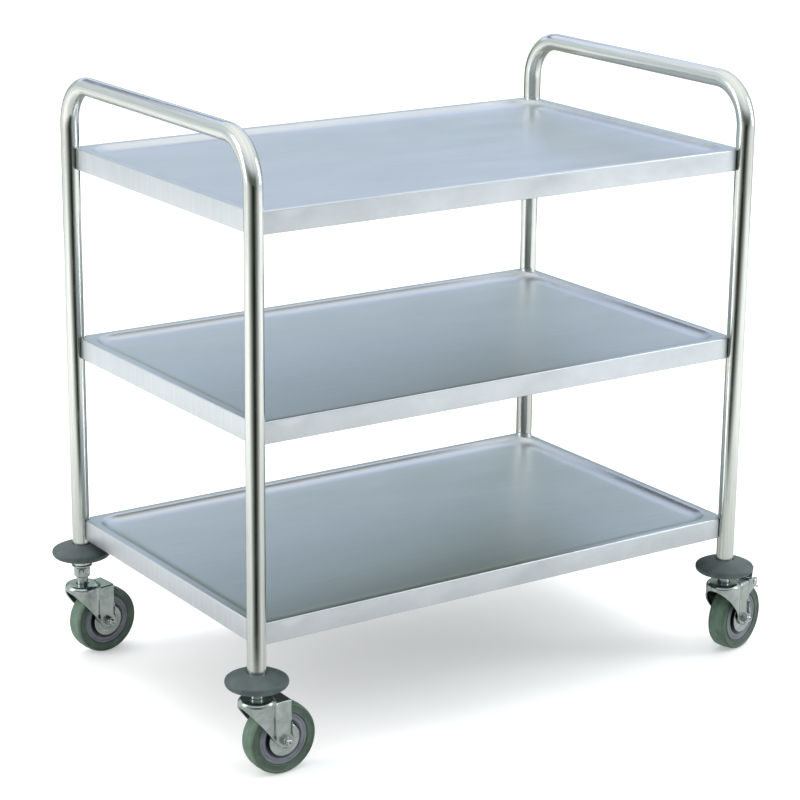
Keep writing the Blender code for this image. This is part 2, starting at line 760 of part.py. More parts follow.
def caster(corner, where, meshes):
    """One post's bumper, stem and swivelling wheel, under an empty on the swivel axis."""
    post = (where["x"] * POST_SPACING_X / 2, where["y"] * POST_SPACING_Y / 2)
    lift = RAISED_BUMPER_LIFT if corner == RAISED_BUMPER else 0.0
    placed(f"{corner}_bumper", meshes["bumper"], "bumper", (*post, BUMPER_MID_Z + lift))
    placed(f"{corner}_stem", meshes["stem"], "zinc", (*post, 0.0))

    swivel = bpy.data.objects.new(f"{corner}_swivel", None)
    PARTS.objects.link(swivel)
    swivel.location = (*post, 0.0)
    swivel.rotation_euler = (0.0, 0.0, where["swivel"])
    lying = (math.pi / 2, 0.0, 0.0)
    axle = (CASTER_TRAIL, 0.0, WHEEL_RADIUS)
    cheek = FORK_OUTSIDE_WIDTH / 2 + TOUCH_GAP
    guard = FORK_INSIDE_WIDTH / 2 - TOUCH_GAP - GUARD_THICKNESS / 2

    fork = meshes["braked_fork" if where["braked"] else "fork"]
    placed(f"{corner}_fork", fork, "zinc", (0, 0, 0), parent=swivel)
    placed(f"{corner}_axle_bolt", meshes["axle"], "bolt",
           (CASTER_TRAIL, cheek, WHEEL_RADIUS), lying, swivel)
    placed(f"{corner}_axle_nut", meshes["nut"], "bolt",
           (CASTER_TRAIL, -cheek, WHEEL_RADIUS), lying, swivel)
    placed(f"{corner}_outer_guard", meshes["guard"], "zinc",
           (CASTER_TRAIL, -guard, WHEEL_RADIUS), lying, swivel)
    placed(f"{corner}_inner_guard", meshes["guard"], "zinc",
           (CASTER_TRAIL, guard, WHEEL_RADIUS), lying, swivel)
    placed(f"{corner}_hub", meshes["hub"], "hub", axle, lying, swivel)
    placed(f"{corner}_tyre", meshes["tyre"], "tyre", axle, lying, swivel)
    if where["braked"]:
        x, z = pedal_pin()
        placed(f"{corner}_brake_pedal", meshes["pedal"], "zinc", (x, 0, z), parent=swivel)
        placed(f"{corner}_pedal_pin", meshes["pedal_pin"], "bolt", (x, 0, z), lying, swivel)


def build():
    hoop("left_hoop", -1)
    hoop("right_hoop", 1)
    for index, name in enumerate(("bottom_shelf", "middle_shelf", "top_shelf")):
        shelf(name, shelf_top(index))
        shelf_bolts(name, shelf_top(index))
    meshes = caster_meshes()
    for corner, where in CASTERS.items():
        caster(corner, where, meshes)


build()
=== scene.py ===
import math

import bmesh
import bpy
import numpy as np
from mathutils import Matrix, Vector


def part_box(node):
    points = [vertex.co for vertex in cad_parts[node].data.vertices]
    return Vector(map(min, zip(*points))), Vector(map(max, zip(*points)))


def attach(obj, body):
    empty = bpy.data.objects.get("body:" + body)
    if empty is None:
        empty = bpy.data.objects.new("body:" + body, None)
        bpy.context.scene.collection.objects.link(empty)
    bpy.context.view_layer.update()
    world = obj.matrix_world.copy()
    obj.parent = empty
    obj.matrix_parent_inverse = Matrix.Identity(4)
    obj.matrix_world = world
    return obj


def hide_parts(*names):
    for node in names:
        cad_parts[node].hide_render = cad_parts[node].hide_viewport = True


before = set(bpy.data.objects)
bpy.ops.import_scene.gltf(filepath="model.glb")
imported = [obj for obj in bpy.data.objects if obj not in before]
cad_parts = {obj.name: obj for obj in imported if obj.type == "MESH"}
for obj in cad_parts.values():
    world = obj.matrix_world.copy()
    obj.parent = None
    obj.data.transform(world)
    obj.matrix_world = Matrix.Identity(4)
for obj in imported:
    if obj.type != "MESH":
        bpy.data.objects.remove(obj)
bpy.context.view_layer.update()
mm = 0.001
corners = ("front_left", "back_left", "front_right", "back_right")
brakedCorners = ("front_right", "back_right")
print("frame loaded:", len(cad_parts), "nodes")


# a long lens, above and to the left of the trolley's near corner
cameraLook = {
    "place": (-1.9594, -2.8955, 1.4368),
    "turn": 33.94,      # degrees from +Y towards +X
    "down": 16.65,
    "roll": 0.567,
    "lens": 114.1,
    "sensor": 36.0,
}


def makeCamera(look):
    # looks along (sin turn cos down, cos turn cos down, -sin down), rolled about that line
    turn, down, roll = (math.radians(look[name]) for name in ("turn", "down", "roll"))
    ahead = Vector((math.sin(turn) * math.cos(down), math.cos(turn) * math.cos(down), -math.sin(down)))
    level = Vector((math.cos(turn), -math.sin(turn), 0.0))
    above = level.cross(ahead)
    right = level * math.cos(roll) + above * math.sin(roll)
    up = above * math.cos(roll) - level * math.sin(roll)
    camera = bpy.data.objects.new("camera", bpy.data.cameras.new("camera"))
    camera.data.lens = look["lens"]
    camera.data.sensor_width = look["sensor"]
    camera.data.clip_end = 100.0
    axes = Matrix((right, up, -ahead)).transposed().to_4x4()
    camera.matrix_world = Matrix.Translation(look["place"]) @ axes
    bpy.context.scene.collection.objects.link(camera)
    bpy.context.scene.camera = camera


makeCamera(cameraLook)
bpy.context.scene.view_settings.view_transform = "Standard"


def linear(hexColour):
    # sRGB to linear: a straight line near black, a 2.4 power above it
    parts = np.array([int(hexColour[i:i + 2], 16) for i in (1, 3, 5)]) / 255.0
    values = np.where(parts <= 0.04045, parts / 12.92, ((parts + 0.055) / 1.055) ** 2.4)
    return (*values.tolist(), 1.0)


def addNode(tree, kind, settings=None, links=None):
    # a setting is an input socket by name or number, a ramp's stops, or else a property of the
    # node; a link comes from an output socket, or from a node's first one
    node = tree.nodes.new("ShaderNode" + kind)
    settings = settings or {}
    for name, value in settings.items():
        if name == "stops":
            setStops(node, value)
        elif isinstance(name, str) and name not in node.inputs:
            setattr(node, name, value)
    for name, value in settings.items():
        if not isinstance(name, str) or name in node.inputs:
            node.inputs[name].default_value = value
    for name, source in (links or {}).items():
        tree.links.new(getattr(source, "outputs", (source,))[0], node.inputs[name])
    return node


def setStops(ramp, stops):
    # stops are (position, hex colour)
    elements = ramp.color_ramp.elements
    while len(elements) < len(stops):
        elements.new(0.5)
    for element, (position, value) in zip(elements, stops):
        element.position = position
        element.color = linear(value)


def fromTo(start, end, low=0.0, high=1.0):
    # settings of a range: start to end becomes low to high
    return {"From Min": start, "From Max": end, "To Min": low, "To Max": high}


def newMaterial(name, attribute=None):
    # a material with an empty node tree, and its coordinates: the object's own or an attribute
    material = bpy.data.materials.new(name)
    material.use_nodes = True
    tree = material.node_tree
    tree.nodes.clear()
    if attribute:
        return material, tree, addNode(tree, "Attribute", {"attribute_name": attribute}).outputs["Vector"]
    return material, tree, addNode(tree, "TexCoord").outputs["Object"]


def addShader(tree, settings, colour, rough, height, strength, depth):
    # the surface: colour, roughness, and a bump of this strength and depth in mm over a height
    bump = addNode(tree, "Bump", {"Strength": strength, "Distance": depth * mm}, {"Height": height})
    surface = addNode(tree, "BsdfPrincipled", settings,
                      {"Base Color": colour, "Roughness": rough, "Normal": bump})
    addNode(tree, "OutputMaterial", links={"Surface": surface})


# grain sizes in mm
satinLook = {"grainLength": 90.0, "grainWidth": 0.9, "rough": 0.35, "roughSpread": 0.06,
             "tones": [(0.25, "#c1c5c7"), (0.5, "#cdd1d3"), (0.75, "#d8dbdd")], "scratch": "#dfe1e2"}
# the underside's dark tones are painted shade under each shelf, seen mirrored in the tray below
shadedUndersideLook = {"grainLength": 30.0, "grainWidth": 2.2, "rough": 0.52, "roughSpread": 0.1,
                 "tones": [(0.25, "#494e4c"), (0.5, "#545957"), (0.75, "#606563")], "scratch": "#707472"}


def sheetStainless(name, look):
    # Stainless 304 sheet, belt-polished along its length: soft grey-blue sheen, fine parallel
    # grain, faint clouds and hairline scratches. Grit lines are 0.1 mm wide, drawn at 0.9 mm.
    # The underside is painted a dark grey: painted shade under the shelf.
    material, tree, sheet = newMaterial(name, "sheetCoords")
    along, across = 1 / (look["grainLength"] * mm), 1 / (look["grainWidth"] * mm)
    stretch = addNode(tree, "Mapping", {"Scale": (along, across, across)}, {"Vector": sheet})
    grain = addNode(tree, "TexNoise", {"Scale": 1.0, "Detail": 4.0, "Roughness": 0.6}, {"Vector": stretch})
    wide = addNode(tree, "Mapping", {"Scale": (5.0, 16.0, 16.0)}, {"Vector": sheet})
    cloud = addNode(tree, "TexNoise", {"Scale": 1.0, "Detail": 4.0, "Roughness": 0.6}, {"Vector": wide})
    thin = addNode(tree, "Mapping", {"Scale": (14.0, 1300.0, 1300.0), "Rotation": (0, 0, 0.02)},
                   {"Vector": sheet})
    hair = addNode(tree, "TexNoise", {"Scale": 1.0, "Detail": 0.0}, {"Vector": thin})
    scratch = addNode(tree, "MapRange", fromTo(0.74, 0.82, 0.0, 0.5), {"Value": hair})

    tone = addNode(tree, "ValToRGB", {"stops": look["tones"]}, {"Fac": grain})
    patch = addNode(tree, "ValToRGB", {"stops": [(0.3, "#eef0f1"), (0.65, "#f6f8f9")]}, {"Fac": cloud})
    colour = addNode(tree, "Mix", {"data_type": "RGBA", "blend_type": "MULTIPLY", 0: 1.0},
                     {6: tone, 7: patch})
    worn = addNode(tree, "Mix", {"data_type": "RGBA", 7: linear(look["scratch"])},
                   {0: scratch, 6: colour.outputs[2]})

    low, spread = look["rough"], look["roughSpread"]
    grainRough = addNode(tree, "MapRange", fromTo(0.3, 0.7, low - spread / 2, low + spread / 2),
                         {"Value": grain})
    cloudRough = addNode(tree, "MapRange", fromTo(0.35, 0.7, -0.015, 0.025), {"Value": cloud})
    rough = addNode(tree, "Math", {"operation": "ADD"}, {0: grainRough, 1: cloudRough})
    addShader(tree, {"Metallic": 1.0}, worn.outputs[2], rough, grain, 0.12, 0.03)
    return material


def polishedTube(name):
    # Welded stainless tube, mirror-buffed along its length: hard bright and dark bands, hairline
    # draw marks that run with the tube, and a few dull finger smears.
    material, tree, coords = newMaterial(name, "tubeCoords")
    stretch = addNode(tree, "Mapping", {"Scale": (900.0, 900.0, 14.0)}, {"Vector": coords})
    draw = addNode(tree, "TexNoise", {"Scale": 1.0, "Detail": 3.0}, {"Vector": stretch})
    smear = addNode(tree, "TexNoise", {"Scale": 22.0, "Detail": 4.0, "Distortion": 0.8}, {"Vector": coords})
    tone = addNode(tree, "ValToRGB", {"stops": [(0.3, "#bdc1bb"), (0.7, "#d2d5d0")]}, {"Fac": draw})
    drawRough = addNode(tree, "MapRange", fromTo(0.3, 0.7, 0.10, 0.17), {"Value": draw})
    smearRough = addNode(tree, "MapRange", fromTo(0.5, 0.75, 0.0, 0.10), {"Value": smear})
    rough = addNode(tree, "Math", {"operation": "ADD"}, {0: drawRough, 1: smearRough})
    addShader(tree, {"Metallic": 1.0}, tone, rough, draw, 0.12, 0.03)
    return material


def mouldedRubber(name, dark, base, pale, rough):
    # Injection-moulded thermoplastic rubber: matt and faintly mottled, with a fine spark-eroded
    # grain, paler on what faces up, and rubbed spots. Mould grain is 0.4 mm, drawn at 0.9 mm.
    material, tree, place = newMaterial(name)
    mottle = addNode(tree, "TexNoise", {"Scale": 55.0, "Detail": 5.0}, {"Vector": place})
    grain = addNode(tree, "TexNoise", {"Scale": 1100.0, "Detail": 2.0}, {"Vector": place})
    scuff = addNode(tree, "TexNoise", {"Scale": 140.0, "Detail": 6.0, "Distortion": 2.0}, {"Vector": place})
    tone = addNode(tree, "ValToRGB", {"stops": [(0.3, dark), (0.5, base), (0.75, pale)]}, {"Fac": mottle})
    rubbed = addNode(tree, "MapRange", fromTo(0.62, 0.74, 0.0, 0.35), {"Value": scuff})
    colour = addNode(tree, "Mix", {"data_type": "RGBA", 7: linear(pale)}, {0: rubbed, 6: tone})
    # faces that point up are mixed up to 16% towards a pale grey
    facing = addNode(tree, "SeparateXYZ", links={"Vector": addNode(tree, "NewGeometry").outputs["Normal"]})
    upFacingPale = addNode(tree, "MapRange", fromTo(0.55, 1.0, 0.0, 0.16), {"Value": facing.outputs["Z"]})
    upFacingColour = addNode(tree, "Mix", {"data_type": "RGBA", 7: linear("#7c8584")}, {0: upFacingPale, 6: colour.outputs[2]})
    roughness = addNode(tree, "MapRange", fromTo(0.3, 0.7, rough - 0.08, rough + 0.08), {"Value": mottle})
    addShader(tree, {"IOR": 1.5, "Specular IOR Level": 0.45}, upFacingColour.outputs[2], roughness, grain, 0.25, 0.12)
    return material


def treadRubber(name):
    # Cured grey-green rubber, compression-moulded: fine rings left by the mould run round the
    # wheel, the running surface is scuffed lighter and dusty, the walls stay darker.
    material, tree, place = newMaterial(name)
    turn = addNode(tree, "Attribute", {"attribute_name": "turnCoords"}).outputs["Vector"]
    ring = addNode(tree, "SeparateXYZ", links={"Vector": turn})
    rings = addNode(tree, "TexNoise", {"noise_dimensions": "2D", "Scale": 700.0, "Detail": 2.0},
                    {"Vector": turn})
    mottle = addNode(tree, "TexNoise", {"Scale": 75.0, "Detail": 6.0, "Distortion": 0.6}, {"Vector": place})
    tone = addNode(tree, "ValToRGB", {"stops": [(0.3, "#34463a"), (0.5, "#3e5144"), (0.72, "#4a5f50")]},
                   {"Fac": mottle})
    tread = addNode(tree, "MapRange", fromTo(0.0478, 0.0497, 0.0, 1.0), {"Value": ring.outputs["X"]})
    wornness = addNode(tree, "Math", {"operation": "MULTIPLY"}, {0: tread, 1: mottle})
    worn = addNode(tree, "Mix", {"data_type": "RGBA", 7: linear("#64806a")}, {0: wornness, 6: tone})
    roughness = addNode(tree, "MapRange", fromTo(0.3, 0.7, 0.42, 0.62), {"Value": mottle})
    addShader(tree, {}, worn.outputs[2], roughness, rings, 0.3, 0.1)
    return material


def hubNylon(name):
    # Glass-filled nylon, injection-moulded: lavender grey with a soft gloss and turning rings from
    # the mould. Inside about 26 mm the dished web is painted near-black: painted shade in the recess round the
    # thread guard.
    material, tree, place = newMaterial(name)
    turn = addNode(tree, "Attribute", {"attribute_name": "turnCoords"}).outputs["Vector"]
    ring = addNode(tree, "SeparateXYZ", links={"Vector": turn})
    rings = addNode(tree, "TexNoise", {"noise_dimensions": "2D", "Scale": 900.0, "Detail": 2.0},
                    {"Vector": turn})
    flow = addNode(tree, "TexNoise", {"Scale": 60.0, "Detail": 4.0}, {"Vector": place})
    tone = addNode(tree, "ValToRGB", {"stops": [(0.3, "#5a5d65"), (0.7, "#70747c")]}, {"Fac": flow})
    # painted shade: near-black inside a radius of about 26 mm, where the dish sinks round the guard
    recessShade = addNode(tree, "MapRange", fromTo(0.0258, 0.0262, 1.0, 0.0), {"Value": ring.outputs["X"]})
    colour = addNode(tree, "Mix", {"data_type": "RGBA", 7: linear("#131517")}, {0: recessShade, 6: tone})
    roughness = addNode(tree, "MapRange", fromTo(0.3, 0.7, 0.34, 0.5), {"Value": flow})
    addShader(tree, {}, colour.outputs[2], roughness, rings, 0.25, 0.08)
    return material


def zincPlate(name, rough, dull, bright):
    # Pressed steel with bright passivated zinc: cool silver with a faint green cast, cloudy
    # patches where the bath settled, fine rolling lines and small dull handling marks.
    material, tree, place = newMaterial(name)
    cloud = addNode(tree, "TexNoise", {"Scale": 70.0, "Detail": 5.0, "Distortion": 0.5}, {"Vector": place})
    grain = addNode(tree, "TexNoise", {"Scale": 900.0, "Detail": 3.0}, {"Vector": place})
    mark = addNode(tree, "TexVoronoi", {"Scale": 260.0}, {"Vector": place})
    tone = addNode(tree, "ValToRGB", {"stops": [(0.3, dull), (0.7, bright)]}, {"Fac": cloud})
    spot = addNode(tree, "MapRange", fromTo(0.0, 0.16, 0.3, 0.0), {"Value": mark})
    colour = addNode(tree, "Mix", {"data_type": "RGBA", 7: linear("#8f9a98")}, {0: spot, 6: tone})
    roughness = addNode(tree, "MapRange", fromTo(0.3, 0.7, rough + 0.07, rough - 0.05), {"Value": cloud})
    addShader(tree, {"Metallic": 1.0}, colour.outputs[2], roughness, grain, 0.18, 0.06)
    return material


finishes = {
    "satin": sheetStainless("satin_stainless_sheet", satinLook),
    "underside": sheetStainless("stainless_underside_painted_shade", shadedUndersideLook),
    "tube": polishedTube("polished_stainless_tube"),
    "bumper": mouldedRubber("moulded_grey_rubber", "#323d3c", "#3b4746", "#495655", 0.5),
    "tyre": treadRubber("moulded_grey_green_tyre_rubber"),
    "hub": hubNylon("moulded_grey_nylon"),
    "zinc": zincPlate("bright_zinc_pressed_steel", 0.19, "#949e9a", "#b4bdb9"),
    "bolt": zincPlate("zinc_plated_fastener", 0.2, "#a3aba7", "#c6cdc9"),
}
print("materials made:", len(finishes))


def gridFaces(rows, columns, closeRows=False, closeColumns=True):
    # face (i, j) joins grid points (i, j), (i, j+1), (i+1, j+1) and (i+1, j)
    i, j = np.meshgrid(np.arange(rows - (not closeRows)), np.arange(columns - (not closeColumns)), indexing="ij")
    iNext, jNext = (i + 1) % rows, (j + 1) % columns
    quads = (i * columns + j, i * columns + jNext, iNext * columns + jNext, iNext * columns + j)
    return np.stack(quads, axis=-1).reshape(-1, 4)


def makePiece(name, points, faces, finish, body, nodes, coords=None, closed=True, sharp=32.0, wall=None):
    # a mesh at its place in the world: points on a grid, corners of the faces, and coords, an
    # attribute's (name, values) for each point; an open skin gets a wall on its inner side
    mesh = bpy.data.meshes.new(name)
    mesh.from_pydata(points.reshape(-1, 3).tolist(), [], faces.tolist())
    if coords:
        attribute = mesh.attributes.new(coords[0], "FLOAT_VECTOR", "POINT")
        attribute.data.foreach_set("vector", np.ascontiguousarray(coords[1], np.float32).ravel())
    shape = bmesh.new()
    shape.from_mesh(mesh)
    bmesh.ops.remove_doubles(shape, verts=shape.verts, dist=2e-6)
    bmesh.ops.dissolve_degenerate(shape, edges=shape.edges, dist=1e-7)
    if closed:
        bmesh.ops.recalc_face_normals(shape, faces=shape.faces)
    shape.to_mesh(mesh)
    shape.free()
    mesh.shade_smooth()
    mesh.set_sharp_from_angle(angle=math.radians(sharp))
    mesh.materials.append(finishes[finish])
    piece = bpy.data.objects.new(name, mesh)
    bpy.context.scene.collection.objects.link(piece)
    if wall:
        solidify = piece.modifiers.new("wall", "SOLIDIFY")
        solidify.thickness = wall
        solidify.offset = -1.0
    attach(piece, body)
    if nodes:
        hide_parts(*nodes)
    return piece


def softened(cornerPoints, radius, steps=5, closed=True):
    # corner V becomes (1-t)^2 A + 2t(1-t) V + t^2 B, with A and B a radius away along its two sides
    v = np.asarray(cornerPoints, float)
    size = np.broadcast_to(np.asarray(radius, float), (len(v),))[:, None]

    def along(other):
        gap = other - v
        length = np.maximum(np.linalg.norm(gap, axis=1, keepdims=True), 1e-9)
        return v + gap * np.minimum(size / length, 0.48)

    a, b = along(np.roll(v, 1, 0)), along(np.roll(v, -1, 0))
    if not closed:
        a[0], b[0], a[-1], b[-1] = v[0], v[0], v[-1], v[-1]
    t = np.linspace(0, 1, steps)[None, :, None]
    curve = (1 - t) ** 2 * a[:, None] + 2 * t * (1 - t) * v[:, None] + t ** 2 * b[:, None]
    return curve.reshape(-1, 2)


def lathe(profile, steps, hexRows=None, across=0.0):
    # point = (r cos a, r sin a, h); on rows marked as hexagonal r is cut to the flats' distance
    a = np.arange(steps) * 2 * math.pi / steps
    r = np.repeat(profile[:, :1], steps, axis=1)
    if hexRows is not None:
        sector = math.pi / 3
        flats = across / 2 / np.cos((a + sector / 2) % sector - sector / 2)
        r = np.where(hexRows[:, None], np.minimum(r, flats[None, :]), r)
    h = np.repeat(profile[:, 1:], steps, axis=1)
    points = np.stack((r * np.cos(a), r * np.sin(a), h), axis=-1)
    coords = np.stack((r, h, np.zeros_like(r)), axis=-1)
    return points, coords


def lying(points):
    # the turned axis laid down: height becomes -Y
    return points[..., [0, 2, 1]] * np.array((1.0, -1.0, 1.0))


def smoothStep(x):
    # 3 x^2 - 2 x^3, held between 0 and 1
    x = np.clip(x, 0.0, 1.0)
    return x * x * (3 - 2 * x)


def walkedAlong(path):
    # distance walked to each point: the running sum of the steps' lengths
    return np.concatenate(([0.0], np.cumsum(np.linalg.norm(np.diff(path, axis=0), axis=1))))


def leftNormals(path):
    # unit tangent from central differences, (x, y), turned a quarter left to (-y, x)
    along = np.gradient(path, axis=0)
    along /= np.linalg.norm(along, axis=1, keepdims=True)
    return np.stack((-along[:, 1], along[:, 0]), axis=-1)


class Caster:
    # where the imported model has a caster: its post's axis, its swivel angle and its axle
    def __init__(self, corner):
        low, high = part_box(corner + "_stem")
        self.post = (low + high) / 2
        low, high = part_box(corner + "_hub")
        self.axle = (low + high) / 2
        self.angle = math.atan2(self.axle.y - self.post.y, self.axle.x - self.post.x)
        self.trail = math.hypot(self.axle.x - self.post.x, self.axle.y - self.post.y)
        self.at = (self.trail, self.axle.z)

    def place(self, points):
        # turned by the swivel angle about Z, then moved to the post
        c, s = math.cos(self.angle), math.sin(self.angle)
        x, y, z = points[..., 0], points[..., 1], points[..., 2]
        return np.stack((c * x - s * y + self.post.x, s * x + c * y + self.post.y, z), axis=-1)


casters = {corner: Caster(corner) for corner in corners}


hoopSizes = {                # millimetres
    "radius": 12.7, "wall": 1.2, "bend": 62.0, "around": 48, "bendSteps": 22, "postSteps": 12, "barSteps": 8,
    "lead": 3.0,            # extra ring this far before and after each bend
}


def hoopPath():
    # up one post, a quarter circle, along the handle, a quarter circle, down the other post
    s = hoopSizes
    low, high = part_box("left_hoop")
    reach, top = high.y - s["radius"] * mm, high.z - s["radius"] * mm
    bend, lead, posts = s["bend"] * mm, s["lead"] * mm, s["postSteps"]
    turn = np.linspace(0, math.pi / 2, s["bendSteps"])
    rise = np.append(np.linspace(low.z, top - bend, posts)[:-1], top - bend - lead)
    span = reach - bend - lead
    y = np.concatenate((np.full(posts, -reach), -(reach - bend) - bend * np.cos(turn),
                        np.linspace(-span, span, s["barSteps"]),
                        reach - bend + bend * np.sin(turn), np.full(posts, reach)))
    z = np.concatenate((rise, top - bend + bend * np.sin(turn), np.full(s["barSteps"], top),
                        top - bend + bend * np.cos(turn), rise[::-1]))
    return np.stack((y, z), axis=-1)


def makeHoop(name, x):
    # point = path + r (cos a * normal + sin a * X); the outer skin runs up the path, the inner back
    path = hoopPath()
    normal, walked = leftNormals(path), walkedAlong(path)
    a = np.arange(hoopSizes["around"]) * 2 * math.pi / hoopSizes["around"]
    skins, coords = [], []
    for r, order in ((hoopSizes["radius"] * mm, 1), ((hoopSizes["radius"] - hoopSizes["wall"]) * mm, -1)):
        ring = path[:, None, :] + r * np.cos(a)[None, :, None] * normal[:, None, :]
        cosine, sine = (np.broadcast_to(r * wave(a), ring.shape[:2]) for wave in (np.cos, np.sin))
        skins.append(np.stack((x + sine, ring[..., 0], ring[..., 1]), axis=-1)[::order])
        far = np.broadcast_to(walked[:, None], cosine.shape)
        coords.append(np.stack((cosine, sine, far), axis=-1)[::order])
    points = np.concatenate(skins)
    makePiece(name + "_tube", points, gridFaces(len(points), len(a), closeRows=True), "tube", "trolley_frame",
              [name], ("tubeCoords", np.concatenate(coords)))


for hoopName in ("left_hoop", "right_hoop"):
    low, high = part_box(hoopName)
    makeHoop(hoopName, (low.x + high.x) / 2)
print("hoops made")


shelfSizes = {               # millimetres
    "inset": 1.5,           # rim's face inside the line through the posts
    "notch": 13.9,          # radius of the corner that wraps the post
    "lip": 8.0,
    "foot": -30.5,          # the rim's lower edge, under the border
    "border": 12.0,
    "tray": 8.0,
    "wall": 26.0,
    "trayCorner": 36.0,
    "sheet": 1.2,
    "cornerSteps": 12,
    "sideSteps": 10,
}


def shelfRing(inset, notched, postX, postY):
    # one quarter is an arc (about the post when notched, rounded otherwise) and the side that
    # follows; the other quarters mirror it, in order round the shelf
    edge = (shelfSizes["inset"] + inset) * mm
    part = np.linspace(0, 1, shelfSizes["cornerSteps"])
    if notched:
        radius = (shelfSizes["notch"] + inset) * mm
        lead = math.asin(min(edge / radius, 0.95))
        angle = math.radians(270) - lead - part * (math.radians(90) - 2 * lead)
        x, y = postX + radius * np.cos(angle), postY + radius * np.sin(angle)
    else:
        radius = (shelfSizes["trayCorner"] - (inset - shelfSizes["border"]) * 0.6) * mm
        angle = part * math.radians(90)
        x = postX - edge - radius * (1 - np.cos(angle))
        y = postY - edge - radius * (1 - np.sin(angle))
    quarter = np.stack((x, y), axis=-1)
    ends = [quarter, quarter[::-1] * (-1, 1), quarter * (-1, -1), quarter[::-1] * (1, -1)]
    ring = []
    for here, after in zip(ends, ends[1:] + ends[:1]):
        t = np.linspace(0, 1, shelfSizes["sideSteps"] + 1)[1:-1, None]
        ring += [here, here[-1] * (1 - t) + after[0] * t]
    return np.concatenate(ring)


def shelfProfile():
    # (inset, height) from the turned-in lip, up the rim, over the border and down to the floor; the
    # wall's height = -tray (1 - (1 - t)^3), steep at the border and easing out to the floor
    s = shelfSizes
    fold = [(s["lip"], s["foot"]), (0.0, s["foot"]), (0.0, 0.0), (s["border"] - 4.0, 0.0)]
    outer = softened(fold, (0, 1.2, 2.4, 0), 6, False)
    t = np.linspace(0.0, 1.0, 14)[1:]
    wall = np.stack((s["border"] + s["wall"] * t, -s["tray"] * (1 - (1 - t) ** 3)), axis=-1)
    crease = [(s["border"] - 1.6, 0.0), (s["border"] - 0.6, -0.1), (s["border"] + 0.4, -0.45)]
    return outer, np.concatenate((crease, wall))


def makeShelf(name):
    # grid of profile row by place round the shelf, then rings shrinking to the floor's middle; the
    # walked distance across the sheet, z for the end rims, keeps the grain unbroken over the folds
    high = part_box(name)[1]
    postX, postY = high.x + shelfSizes["inset"] * mm, high.y + shelfSizes["inset"] * mm
    outer, inner = shelfProfile()
    profile = np.concatenate((outer, inner))
    ring = np.stack([shelfRing(inset, row < len(outer), postX, postY) for row, (inset, _) in enumerate(profile)])
    z = np.broadcast_to(high.z + profile[:, 1:] * mm, ring.shape[:2])
    points = np.concatenate((ring, z[..., None]), axis=-1)
    drop = np.abs(np.diff(profile[:, 1], prepend=profile[0, 1]))
    drop = (drop[::-1].cumsum()[::-1] * mm)[:, None]
    onEnd = (np.abs(ring[..., 0]) - postX > np.abs(ring[..., 1]) - postY)
    coords = np.stack((ring[..., 0], ring[..., 1] + np.sign(ring[..., 1]) * drop * ~onEnd, drop * onEnd), axis=-1)
    middle = points[-1].mean(axis=0)
    share = np.array((0.72, 0.4, 0.12, 0.0))[:, None, None]
    points = np.concatenate((points, middle + (points[-1:] - middle) * share))
    coords = np.concatenate((coords, coords[-1:] * share))
    pan = makePiece(name + "_pan", points, gridFaces(*points.shape[:2]), "satin", "trolley_frame", [name],
                    ("sheetCoords", coords), closed=False, sharp=40.0, wall=shelfSizes["sheet"] * mm)
    pan.data.materials.append(finishes["underside"])
    pan.modifiers["wall"].material_offset = 1


for shelfName in ("bottom_shelf", "middle_shelf", "top_shelf"):
    makeShelf(shelfName)
    for corner in corners:
        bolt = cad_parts[f"{shelfName}_bolt_{corner}"]
        bolt.data.materials.clear()
        bolt.data.materials.append(finishes["bolt"])
print("shelves made")


# millimetres; edges are (radius, height) down to the dished underside, rounds are each corner's
bumperSizes = {
    "bore": 13.0, "crown": 12.5, "pocket": 16.2, "grip": 5.5, "around": 72,
    "edges": [(29.0, 9.2), (38.0, 4.9), (42.5, 2.4), (42.5, -3.2), (39.6, -6.6), (34.0, -8.0), (25.0, -7.2)],
    "rounds": (0.4, 3.0, 8.0, 5.0, 3.0, 3.0, 3.0, 2.5, 2.0, 0.8, 0.5, 0.4),
}
stemSizes = {
    "race": 17.0, "raceTop": 109.2, "neck": 8.5, "nutAcross": 21.5, "nut": 11.7, "nutFoot": 123.4,
    "collar": 15.0, "collarFoot": 139.4, "collarTop": 142.2, "plug": 10.6, "around": 48,
}


def makeBumper(corner):
    # turned profile: domed top, thick rounded edge, dished underside and the bore round the tube
    s = bumperSizes
    crown, gripFoot = s["crown"], s["crown"] - s["grip"]
    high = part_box(corner + "_bumper")[1]
    profile = [(s["bore"], crown), (s["bore"] + 3.5, crown), *s["edges"], (s["pocket"], -7.4),
               (s["pocket"], gripFoot), (s["bore"], gripFoot)]
    profile = softened(profile, s["rounds"], 6) * mm
    points, coords = lathe(profile, s["around"])
    points += np.array((casters[corner].post.x, casters[corner].post.y, high.z - crown * mm))
    makePiece(corner + "_bumper_ring", points, gridFaces(len(profile), s["around"], closeRows=True), "bumper",
              "trolley_frame", [corner + "_bumper"], ("turnCoords", coords), sharp=50.0)


